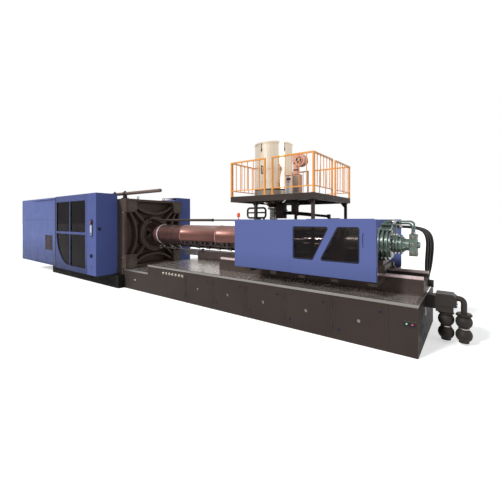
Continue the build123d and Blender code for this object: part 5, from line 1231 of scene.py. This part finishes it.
def railing_posts():
    """The (x, y) middles of the posts of the eight railing panels."""
    x0, x1 = PLATFORM_X
    middle = (x0 + x1) / 2
    w = RAILING_W / 2
    posts = []
    for y in (-PLATFORM_HALF + w, PLATFORM_HALF - w):
        for x in (x0 + w, middle - RAILING_SPLIT - w, middle + RAILING_SPLIT + w, x1 - w):
            posts.append((x, y))
    for x in (x0 + w, x1 - w):
        for y in (-RAILING_SPLIT - w, RAILING_SPLIT + w):
            posts.append((x, y))
    return posts


def railing_details():
    w = RAILING_W / 2
    plate = PLATFORM_TOP + FOOT_T
    top = PLATFORM_TOP + RAILING_H
    feet = Shapes()
    caps = Shapes()
    for x, y in railing_posts():
        x0, x1 = max(x - FOOT_HALF, PLATFORM_X[0]), min(x + FOOT_HALF, PLATFORM_X[1])
        y0, y1 = max(y - FOOT_HALF, -PLATFORM_HALF), min(y + FOOT_HALF, PLATFORM_HALF)
        feet.block((x0, y0, PLATFORM_TOP), (x1, y1, plate), 0.003)
        for bx, by, bz in places((x0 + 0.014, x1 - 0.014), (y0 + 0.014, y1 - 0.014), [plate]):
            if abs(bx - x) > w and abs(by - y) > w:
                feet.hex_bolt((bx, by, bz), UP, 0.007)
        caps.block((x - w - 0.002, y - w - 0.002, top - 0.044), (x + w + 0.002, y + w + 0.002, top - 0.006),
                   0.004)
    piece("railing_feet", "carriage", "rail_orange", feet)
    piece("railing_joints", "carriage", "rail_orange", caps)

    gussets = Shapes()
    for x in POST_X:
        for side in (-1, 1):
            y0, y1 = span(side, POST_Y - 0.003, POST_Y + 0.003)
            for way in (-1, 1):
                tip = x + way * 0.155
                near = x + way * 0.035
                if PLATFORM_X[0] < tip < PLATFORM_X[1]:
                    gussets.prism([(near, GUSSET_TOP), (tip, GUSSET_TOP), (near, GUSSET_LOW)], y0, y1)
            y = side * POST_Y
            for z in POST_ENDS_Z:
                gussets.block((x - 0.060, y - 0.060, z), (x + 0.060, y + 0.060, z + 0.014), 0.003)
    piece("post_gussets", "carriage", "platform_dark", gussets)


def hopper_side(angle, z):
    """The place on the hopper's side at an angle and height, and the direction outwards there."""
    outward = Vector((cos(angle), sin(angle), 0))
    return Vector((FEED_X, 0, z)) + outward * HOPPER_R, outward


def hopper_details():
    rings = Shapes()
    for z, out in HOPPER_RINGS:
        rings.collar((FEED_X, 0, z), UP, HOPPER_R - 0.002, HOPPER_R + out, 0.022, 0.002, 72)
    rings.tube([circle_point((FEED_X, 0, z), "Z", HOPPER_R + 0.001, HOPPER_SEAM)
                for z in steps(HOPPER_SEAM_LOW, HOPPER_TOP - 0.040, 6)], 0.004, 8)
    piece("hopper_bands", "carriage", "hopper_steel", rings)

    skirt = Shapes()
    z0, z1 = SKIRT_Z
    skirt.collar((FEED_X, 0, z0), UP, HOPPER_R + 0.0005, HOPPER_R + 0.016, z1 - z0, 0.003, 72)
    piece("hopper_skirt", "carriage", "hopper_steel", skirt, "skirt_grey")
    clips = Shapes()
    # painted shade: the dark ring at the skirt's top stands for the gap above it
    clips.collar((FEED_X, 0, z1), UP, HOPPER_R - 0.002, HOPPER_R + 0.006, 0.036, 0.003, 72)
    for angle in CLIP_ANGLES:
        place, outward = hopper_side(radians(angle), CLIP_Z)
        clips.turned(place, outward, cap(0.030, 0.010, 0.026, 0.012), 4)
        clips.tube([place + outward * 0.018 + Vector((0, 0, z)) for z in CLIP_SPOTS], 0.007, 8)
    piece("hopper_clips", "carriage", "hopper_steel", clips, "dark_trim")

    grip = Shapes()
    foot, outward = hopper_side(GRIP_ANGLE, GRIP_Z)
    for z in (-0.100, 0.100):
        grip.turned(foot + Vector((0, 0, z)), outward, GRIP_FOOT, 16)
    grip.tube([foot + outward * 0.045 + Vector((0, 0, z)) for z in steps(-0.120, 0.120, 5)], 0.012, 14)
    piece("hopper_handle", "carriage", "hopper_steel", grip, "dark_trim")

    # painted shade: a dark sheet over the cone below the platform, with the flange bolts
    cone_shade = Shapes()
    cone_shade.turned((FEED_X, 0, 0), UP, CONE_SHADE_PROFILE, 56, closed=True)
    for spot in circle((FEED_X, 0, 2.980), "Z", CONE_FLANGE_R, 8, radians(20)):
        cone_shade.hex_bolt(spot, UP, 0.010)
    piece("cone_painted_shade", "carriage", "platform_dark", cone_shade, "dark_brown")

    lid = Shapes()
    lid.tube(circle((FEED_X, 0, HOPPER_TOP + 0.012), "Z", LID_R * 0.996, 72), 0.009, 8, closed=True)
    low = HOPPER_TOP + 0.038
    high = HOPPER_TOP + 0.052
    lid.tube([(FEED_X - 0.070, LID_GRIP_Y, low), (FEED_X - 0.068, LID_GRIP_Y - 0.007, high),
              (FEED_X + 0.068, LID_GRIP_Y - 0.007, high), (FEED_X + 0.070, LID_GRIP_Y, low)], 0.007, 10)
    piece("lid_rim", "hopper_lid", "hopper_steel", lid)


def feed_pipes():
    """Pipes under the platform: a loop on the housing, the feed tube and two dark vessels."""
    pipes = Shapes()
    left, right = LOOP_X
    outline = round_corners(rectangle(left, right, *LOOP_Z), 0.080)
    pipes.tube([(x, LOOP_Y, z) for x, z in outline], LOOP_TUBE, 14, closed=True)
    pipes.tube([(x, LOOP_Y, LOOP_BAR_Z) for x in steps(left, right, 3)], LOOP_TUBE * 0.8, 12)
    for x in (left + 0.290, right - 0.060):
        pipes.tube([(x, LOOP_Y, z) for z in (LOOP_FOOT_Z, 2.600, LOOP_Z[0])], LOOP_TUBE, 12)
        pipes.collar((x, LOOP_Y, LOOP_FOOT_Z), UP, LOOP_TUBE, 0.060, 0.014, 0.003, 24)
    pipes.tube(FEED_TUBE, 0.052, 20)
    pipes.tube(THIN_TUBE, 0.034, 16)
    pipes.collar(TUBE_CLAMP, TUBE_SLOPE, 0.034, 0.064, 0.040, 0.005, 28)
    for (x0, x1), half, (z0, z1), bevel in ((ELBOW_X, 0.052, ELBOW_Z, 0.008),
                                            ((8.120, OUTLET_X), 0.030, (2.560, 2.644), 0.008),
                                            ((8.380, OUTLET_X + 0.020), 0.060, (2.500, 2.566), 0.006)):
        pipes.block((x0, TUBE_Y - half, z0), (x1, TUBE_Y + half, z1), bevel)
    pipes = piece("feed_pipes", "carriage", "tube_black", pipes)
    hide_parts("conveying_pipes")

    vessels = Shapes()
    x0, x1 = VESSEL_X
    y0, y1 = VESSEL_Y
    z0, z1 = VESSEL_Z
    vessels.block((x0, y0, z0), (x1, y1, z1), 0.014)
    vessels.block((x0 - 0.020, y0 - 0.015, 2.860), (x1 + 0.020, y1 + 0.015, 2.890), 0.006)
    x, y = FLASK
    vessels.turned((x, y, 0), UP, [
        (2.740, 0), (2.742, 0.050), (2.800, 0.096), (2.820, 0.102), (3.060, 0.102), (3.066, 0.118),
        (z1, 0.118),
    ], 32)
    vessels.tube([(x, y, 2.760), (x, y + 0.120, 2.742), (x, TUBE_Y, 2.760)], 0.030, 12)
    piece("feed_vessels", "carriage", "tube_black", vessels, "dark_brown")


def blower_details():
    bx, by, bz = BLOWER
    rim = Shapes()
    rim.collar((bx, BLOWER_FRONT - 0.020, bz), FRONT, 0.084, 0.100, 0.006, 0.002, 48)
    for spot in circle((bx, BLOWER_FRONT, bz), "Y", BLOWER_SCREW_R, 10):
        rim.cap_screw(spot, FRONT, 0.008)
    piece("blower_rim", "carriage", "dryer_salmon", rim)
    hub = Shapes()
    hub.turned((bx, by - 0.050, bz), FRONT, BLOWER_HUB, 28)
    piece("blower_hub", "carriage", "dryer_salmon", hub, "pale_grey")
    vanes = Shapes()
    for angle in round_angles(8):
        vanes.tube([circle_point((bx, by - 0.062, bz), "Y", radius, angle + lean)
                    for radius, lean in BLOWER_VANE], 0.008, 8)
    # painted shade: the dark disc behind the spokes stands for the blower's openings
    vanes.collar((bx, BLOWER_FRONT - 0.004, bz), FRONT, 0.034, 0.080, 0.004, 0.001, 40)
    piece("blower_vanes", "carriage", "dryer_salmon", vanes, "dark_brown")
    spokes = Shapes()
    for angle in round_angles(4, 0.5):
        spokes.tube([circle_point((bx, BLOWER_FRONT - 0.012, bz), "Y", radius, angle)
                     for radius in (0.030, 0.090)], 0.014, 10)
    piece("blower_spokes", "carriage", "dryer_salmon", spokes)

    motor = Shapes()
    back = by + 0.092
    motor.turned((bx, back, bz), BACK, BLOWER_MOTOR, 32)
    for y in steps(back + 0.030, back + 0.130, 8):
        motor.collar((bx, y, bz), BACK, 0.090, 0.104, 0.005, 0.001, 32)
    motor.block((bx - 0.040, back + 0.040, bz + 0.088), (bx + 0.040, back + 0.120, bz + 0.140), 0.006)
    piece("blower_motor", "carriage", "machine_grey", motor)

    bands = Shapes()
    for z in DUCT_BANDS_Z:
        bands.collar((DUCT_X, by, z), UP, 0.078, 0.084, 0.030, 0.002, 40)
        bands.block((DUCT_X - 0.014, by - 0.100, z + 0.004), (DUCT_X + 0.014, by - 0.080, z + 0.026), 0.003)
    piece("duct_bands", "carriage", "dryer_salmon", bands, "dark_trim")
    sleeve = Shapes()
    sleeve.turned((DUCT_X, by, 0), UP, DUCT_SLEEVE, 40)
    piece("duct_sleeve", "carriage", "dryer_salmon", sleeve, "pale_grey")


def dryer_box_details():
    (x0, y0), (x1, y1) = DRYER_BOX
    top = PLATFORM_TOP + DRYER_BOX_H
    foot = PLATFORM_TOP + 0.020
    middle = x0 + 0.225
    cover = Shapes()
    cover.block((x0 + 0.010, y0 - 0.008, foot), (middle - 0.006, y0 + 0.002, top - 0.014), 0.004)
    piece("dryer_box_cover", "carriage", "dryer_salmon", cover, "pale_grey")
    door = Shapes()
    door.block((middle + 0.006, y0 - 0.006, foot), (x1 - 0.010, y0 + 0.002, top - 0.014), 0.004)
    piece("dryer_box_door", "carriage", "dryer_salmon", door, "box_brown")
    keys = Shapes()
    keys.block((x0 + 0.050, y0 - 0.011, top - 0.120), (middle - 0.046, y0 - 0.007, top - 0.056), 0.002)
    for x in steps(x0 + 0.065, x0 + 0.165, 3):
        keys.turned((x, y0 - 0.008, top - 0.160), FRONT, BOX_BUTTON, 18)
    for z in steps(PLATFORM_TOP + 0.080, PLATFORM_TOP + 0.170, 7):
        keys.block((middle + 0.040, y0 - 0.008, z), (x1 - 0.045, y0 - 0.005, z + 0.007), 0.001)
    keys.block((x0 + 0.010, y0 + 0.006, top), (x1 - 0.010, y1 - 0.006, top + 0.018), 0.005)
    piece("dryer_box_keys", "carriage", "dryer_salmon", keys, "dark_trim")


# Injection cylinder, motor and valves

CYL_END = 9.700
CYL_R = 0.345
CYL_BOLT_R = 0.272
CYL_INNER_RINGS_X = (9.336, 9.610)
CYL_OUTER_RING_X = 8.640
MOTOR_END = 9.960
MOTOR_BOLT_R = 0.152
PORT_BLOCK_X = (10.090, 10.190)
PORT_BLOCK_Y = (-0.107, -0.095)
PORT_BLOCK_Z = (1.850, 2.030, 2.200)
END_PORT = (10.220, 0.040)
END_PORT_Z = (1.830, 2.235)
PORT_PLUG = [(0, 0.017), (0.008, 0.016), (0.010, 0.012), (0.010, 0)]
VALVE_TOP = 2.516
VALVE_COIL = [(0, 0.020), (0.044, 0.020), (0.046, 0.014), (0.060, 0.012), (0.062, 0.008), (0.062, 0)]
VALVES = [(9.640, 0.120), (9.640, 0.180), (9.770, -0.150)]
PIPE_NUTS = [
    ((9.722, -0.062, 2.566), RIGHT), ((9.722, -0.005, 2.514), RIGHT),
    ((10.164, -0.062, 2.282), UP), ((10.114, -0.005, 2.282), UP),
    ((9.805, -0.140, 2.252), UP), ((9.755, -0.140, 2.252), UP),
]
COLUMN_Y = 0.380
COLUMN_DZ = 0.330
COLUMN_NUTS_X = (6.800, 8.390)
COLUMN_NUT = cap(0.092, 0.050, 0.084, 0.056, 0.055)
COLUMN_END_X = 8.630
COLUMN_END = [(0, 0.088), (0.050, 0.088), (0.056, 0.080), (0.056, 0.050), (0.080, 0.050), (0.080, 0)]
HOUSING_LEFT = 6.050
HOUSING_BOLT_R = 0.340
HOUSING_SIDE = 0.470
HOUSING_BOLT_X = (6.130, 6.720)
HOUSING_BOLT_Z = (1.640, 2.320)
THROAT_BOLT_Z = 2.510
THROAT_RING_Z = 2.640


def solenoid_valve(blocks, coils, plugs, x, y, z):
    """A directional valve across X: its body, two coils and their plugs."""
    blocks.block((x - 0.036, y - 0.023, z), (x + 0.036, y + 0.023, z + 0.050), 0.003)
    for side in (-1, 1):
        coils.turned((x + side * 0.036, y, z + 0.026), (side, 0, 0), VALVE_COIL, 24)
        middle = x + side * 0.046
        plugs.block((middle - 0.012, y - 0.014, z + 0.044), (middle + 0.012, y + 0.014, z + 0.072), 0.003)


def cylinder_details():
    bolts = Shapes()
    for spot in circle((CYL_END, 0, AXIS_Z), "X", CYL_BOLT_R, 16, pi / 16):
        bolts.hex_bolt(spot, RIGHT, 0.018)
    for spot in circle((MOTOR_END, 0, AXIS_Z), "X", MOTOR_BOLT_R, 8, pi / 8):
        bolts.cap_screw(spot, RIGHT, 0.011)
    piece("cylinder_bolts", "carriage", "hydraulic_green", bolts, "bright_steel")

    rings = Shapes()
    for x in CYL_INNER_RINGS_X:
        rings.collar((x, 0, AXIS_Z), RIGHT, CYL_R - 0.028, CYL_R - 0.016, 0.026, 0.004, 64)
    rings.collar((CYL_OUTER_RING_X, 0, AXIS_Z), RIGHT, CYL_R - 0.002, CYL_R + 0.010, 0.030, 0.004, 64)
    piece("cylinder_rings", "carriage", "hydraulic_green", rings, "bright_steel")

    flanges = Shapes()
    plugs = Shapes()
    x0, x1 = PORT_BLOCK_X
    y0, y1 = PORT_BLOCK_Y
    x = (x0 + x1) / 2
    for z in PORT_BLOCK_Z:
        flanges.block((x0, y0, z - 0.034), (x1, y1, z + 0.034), 0.004)
        for spot in places((x - 0.034, x + 0.034), [y0], (z - 0.020, z + 0.020)):
            flanges.cap_screw(spot, FRONT, 0.006)
        plugs.turned((x, y0, z), FRONT, PORT_PLUG, 20)
    for z in END_PORT_Z:
        plugs.turned((*END_PORT, z), RIGHT, PORT_PLUG, 20)
    piece("port_block_flanges", "carriage", "hydraulic_green", flanges)
    piece("port_plugs", "carriage", "hydraulic_green", plugs, "cap_orange")

    blocks = Shapes()
    coils = Shapes()
    plugs = Shapes()
    for x, y in VALVES:
        solenoid_valve(blocks, coils, plugs, x, y, VALVE_TOP)
    piece("valve_bodies", "carriage", "hydraulic_green", blocks, "bright_steel")
    piece("valve_coils", "carriage", "hydraulic_green", coils, "dark_trim")
    piece("valve_plugs", "carriage", "hydraulic_green", plugs, "pale_grey")

    nuts = Shapes()
    for spot, axis in PIPE_NUTS:
        nuts.turned(spot, axis, cap(0.033, 0.030, 0.028, 0.034, 0.021), 6)
    piece("pipe_nuts", "carriage", "hydraulic_green", nuts, "bright_steel")


def housing_details():
    columns = Shapes()
    left, right = COLUMN_NUTS_X
    for y in (-COLUMN_Y, COLUMN_Y):
        for z in (AXIS_Z - COLUMN_DZ, AXIS_Z + COLUMN_DZ):
            columns.turned((right, y, z), LEFT, COLUMN_NUT, 6)
            columns.turned((left, y, z), RIGHT, COLUMN_NUT, 6)
            columns.turned((COLUMN_END_X, y, z), RIGHT, COLUMN_END, 6)
    piece("column_nuts", "carriage", "machine_grey", columns)

    housing = Shapes()
    for spot in circle((HOUSING_LEFT, 0, AXIS_Z), "X", HOUSING_BOLT_R, 12, pi / 12):
        housing.hex_bolt(spot, LEFT, 0.018)
    for side in (-1, 1):
        for spot in places(HOUSING_BOLT_X, [side * HOUSING_SIDE], steps(*HOUSING_BOLT_Z, 4)):
            housing.hex_bolt(spot, (0, side, 0), 0.016)
    piece("housing_bolts", "carriage", "machine_grey", housing)

    throat = Shapes()
    for spot in circle((FEED_X, 0, THROAT_BOLT_Z), "Z", CONE_FLANGE_R, 8):
        throat.hex_bolt(spot, UP, 0.011)
    throat.collar((FEED_X, 0, THROAT_RING_Z), UP, 0.108, 0.122, 0.040, 0.004, 40)
    piece("throat_bolts", "carriage", "machine_grey", throat, "bright_steel")


# Oil service box and rubber joints

JOINTS_X = (10.757, 11.069)
JOINT_Y = -0.025
JOINT_TOP = 0.640
JOINT_RING_DROP = 0.303
JOINT_BOLT_R = 0.122
SERVICE_BOLTS = [(10.640, 0.830), (10.640, 0.985), (10.900, 0.830)]
SERVICE_FRONT = -0.200
SERVICE_SEAM_X = (10.590, 10.940)
SERVICE_SEAM_Z = (0.795, 0.801)
SERVICE_END = 10.950


def service_details():
    flanges = Shapes()
    rings = Shapes()
    necks = Shapes()
    for x in JOINTS_X:
        flanges.collar((x, JOINT_Y, JOINT_TOP - 0.028), UP, 0.088, 0.146, 0.024, 0.003, 48)
        for spot in circle((x, JOINT_Y, JOINT_TOP - 0.004), "Z", JOINT_BOLT_R, 8):
            flanges.hex_bolt(spot, UP, 0.011)
        rings.collar((x, JOINT_Y, JOINT_TOP - JOINT_RING_DROP), UP, 0.088, 0.106, 0.020, 0.005, 40)
        necks.collar((x, JOINT_Y, JOINT_TOP), UP, 0.055, 0.132, 0.018, 0.003, 48)
    piece("joint_flanges", "machine", "joint_rubber", flanges, "service_dark")
    piece("joint_rings", "machine", "joint_rubber", rings, "bright_steel")
    piece("joint_counter_flanges", "machine", "service_dark", necks)

    bolts = Shapes()
    for x, z in SERVICE_BOLTS:
        bolts.hex_bolt((x, SERVICE_FRONT, z), FRONT, 0.013)
    x0, x1 = SERVICE_SEAM_X
    z0, z1 = SERVICE_SEAM_Z
    bolts.block((x0, SERVICE_FRONT - 0.005, z0), (x1, SERVICE_FRONT + 0.002, z1), 0.002)
    for spot in places([SERVICE_END], (-0.150, 0.100), (0.800, 0.930)):
        bolts.hex_bolt(spot, RIGHT, 0.013)
    piece("service_box_bolts", "machine", "service_dark", bolts)


# Oil hoses

HOSE_R = 0.032
HOSE_PITCH = 0.078
HOSE_COUNT = 3
HOSE_ROUTE = [
    (9.832, 0.060, 2.440), (10.000, 0.060, 2.440), (10.190, 0.130, 2.415),
    (10.315, 0.295, 2.355), (10.375, 0.480, 2.245), (10.390, 0.655, 2.070),
    (10.370, 0.815, 1.855), (10.340, 0.940, 1.615), (10.315, 1.025, 1.385),
    (10.300, 1.060, 1.200), (10.300, 1.060, 1.072),
]
HOSE_FAN = [0, 0, 0.012, 0.030, 0.040, 0.045, 0.050, 0.050, 0.040, 0.010, 0]


def route_line(points):
    """The points of the smooth line that a route's control points give."""
    curve = bpy.data.curves.new("route", "CURVE")
    curve.dimensions = "3D"
    curve.resolution_u = 12
    spline = curve.splines.new("NURBS")
    spline.points.add(len(points) - 1)
    for spot, point in zip(spline.points, points):
        spot.co = (*point, 1)
    spline.order_u = 3
    spline.use_endpoint_u = True
    holder = new_object("route", curve)
    line = bpy.data.meshes.new_from_object(holder)
    found = [vertex.co.copy() for vertex in line.vertices]
    bpy.data.objects.remove(holder)
    return found


def hose_pieces():
    for index in range(HOSE_COUNT):
        route = [Vector((x + fan * (index - 1), y + index * HOSE_PITCH, z))
                 for (x, y, z), fan in zip(HOSE_ROUTE, HOSE_FAN)]
        line = route_line(route)
        hose = Shapes()
        hose.tube(line, HOSE_R, 20)
        obj = piece(f"oil_hose_{index + 1}", None, "hose_rubber", hose, smooth_angle=60)
        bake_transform(obj)
        if index == 0:
            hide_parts("hoses")
        upper = Shapes()
        x, y, z = line[0]
        upper.collar((x, y, z), RIGHT, HOSE_R, HOSE_R + 0.006, 0.070, 0.003, 28)
        upper.turned((x - 0.002, y, z), RIGHT, [(0, 0.037), (0.020, 0.037), (0.022, 0.033)], 6)
        piece(f"hose_ferrule_{index + 1}", "carriage", "hydraulic_green", upper, "bright_steel")
        lower = Shapes()
        x, y, z = line[-1]
        lower.collar((x, y, z - 0.002), UP, HOSE_R, HOSE_R + 0.005, 0.060, 0.003, 28)
        piece(f"hose_socket_{index + 1}", "machine", "hose_rubber", lower, "bright_steel")


# Stage: floor, light and camera

WHITE = (1, 1, 1, 1)
FILL = (0.95, 0.97, 1.0, 1)
FILL_STRENGTH = 0.34
SHEEN_STRENGTH = 0.85
FLOOR_SIZE = 400.0
FLOOR_WHITE = (0.9, 0.9, 0.9, 1)
FLOOR_DIM = (0.4, 0.4, 0.4, 1)
FLOOR_GLOW = 0.55
SUNS = [("key", 2.7, 9, (-0.42, -1.0, 0.72)), ("side", 0.7, 25, (1.0, -0.1, 0.2))]
CAMERA_PLACE = (11.193, -7.644, 2.600)
CAMERA_YAW = 0.639
CAMERA_LENS = 21.46
CAMERA_SHIFT = -0.0603
CAMERA_REACH = 1000.0


def seen_directly(nodes, links, rays):
    """1 for what the camera sees itself or through a pane, else 0."""
    return either(nodes, links, rays.outputs["Is Camera Ray"], rays.outputs["Is Transmission Ray"])


def white_world():
    """A white backdrop for the camera, and softer light from it on everything else."""
    world = bpy.data.worlds.new("studio")
    bpy.context.scene.world = world
    world.use_nodes = True
    nodes = world.node_tree.nodes
    links = world.node_tree.links
    fill = nodes["Background"]
    fill.inputs["Color"].default_value = FILL
    fill.inputs["Strength"].default_value = FILL_STRENGTH
    white = add(nodes, "Background", {"Color": WHITE, "Strength": 1.0})
    sheen = add(nodes, "Background", {"Color": WHITE, "Strength": SHEEN_STRENGTH})
    rays = add(nodes, "LightPath")
    backdrop = choose(nodes, links, seen_directly(nodes, links, rays),
                      fill.outputs["Background"], white.outputs["Background"])
    surface = choose(nodes, links, rays.outputs["Is Glossy Ray"], backdrop, sheen.outputs["Background"])
    links.new(surface, nodes["World Output"].inputs["Surface"])


def white_floor():
    """A white floor that keeps a soft shadow."""
    half = FLOOR_SIZE / 2
    mesh = bpy.data.meshes.new("floor")
    corners = [(-half, -half, 0), (half, -half, 0), (half, half, 0), (-half, half, 0)]
    mesh.from_pydata(corners, [], [(0, 1, 2, 3)])
    floor = new_object("floor", mesh)
    material, nodes, links, shader = shader_tree("floor_white")
    nodes.remove(shader)
    paper = add(nodes, "BsdfDiffuse", {"Color": FLOOR_WHITE})
    dim = add(nodes, "BsdfDiffuse", {"Color": FLOOR_DIM})
    glow = add(nodes, "Emission", {"Strength": FLOOR_GLOW})
    lifted = add(nodes, "AddShader")
    links.new(paper.outputs["BSDF"], lifted.inputs[0])
    links.new(glow.outputs["Emission"], lifted.inputs[1])
    rays = add(nodes, "LightPath")
    seen = either(nodes, links, seen_directly(nodes, links, rays), rays.outputs["Is Glossy Ray"])
    surface = choose(nodes, links, seen, dim.outputs["BSDF"], lifted.outputs["Shader"])
    links.new(surface, nodes["Material Output"].inputs["Surface"])
    mesh.materials.append(material)


def sun_lamps():
    for name, energy, angle, toward in SUNS:
        sun = bpy.data.lights.new(name, "SUN")
        sun.energy = energy
        sun.angle = radians(angle)
        lamp = new_object(name, sun)
        lamp.rotation_euler = Vector(toward).to_track_quat("Z", "Y").to_euler()


def camera():
    lens = bpy.data.cameras.new("camera")
    lens.lens = CAMERA_LENS
    lens.shift_y = CAMERA_SHIFT
    lens.clip_end = CAMERA_REACH
    holder = new_object("camera", lens)
    holder.location = CAMERA_PLACE
    holder.rotation_euler = (pi / 2, 0, CAMERA_YAW)
    bpy.context.scene.camera = holder


dress_cad()
clamp_cover_details()
door_details("front_door", -1)
door_details("back_door", 1)
control_details()
platen_details()
heater_details()
cabinet_details()
port_details()
display_details()
base_details()
guard_details()
railing_details()
hopper_details()
feed_pipes()
blower_details()
dryer_box_details()
cylinder_details()
housing_details()
service_details()
hose_pieces()
white_world()
white_floor()
sun_lamps()
camera()
bpy.context.scene.view_settings.view_transform = "Standard"
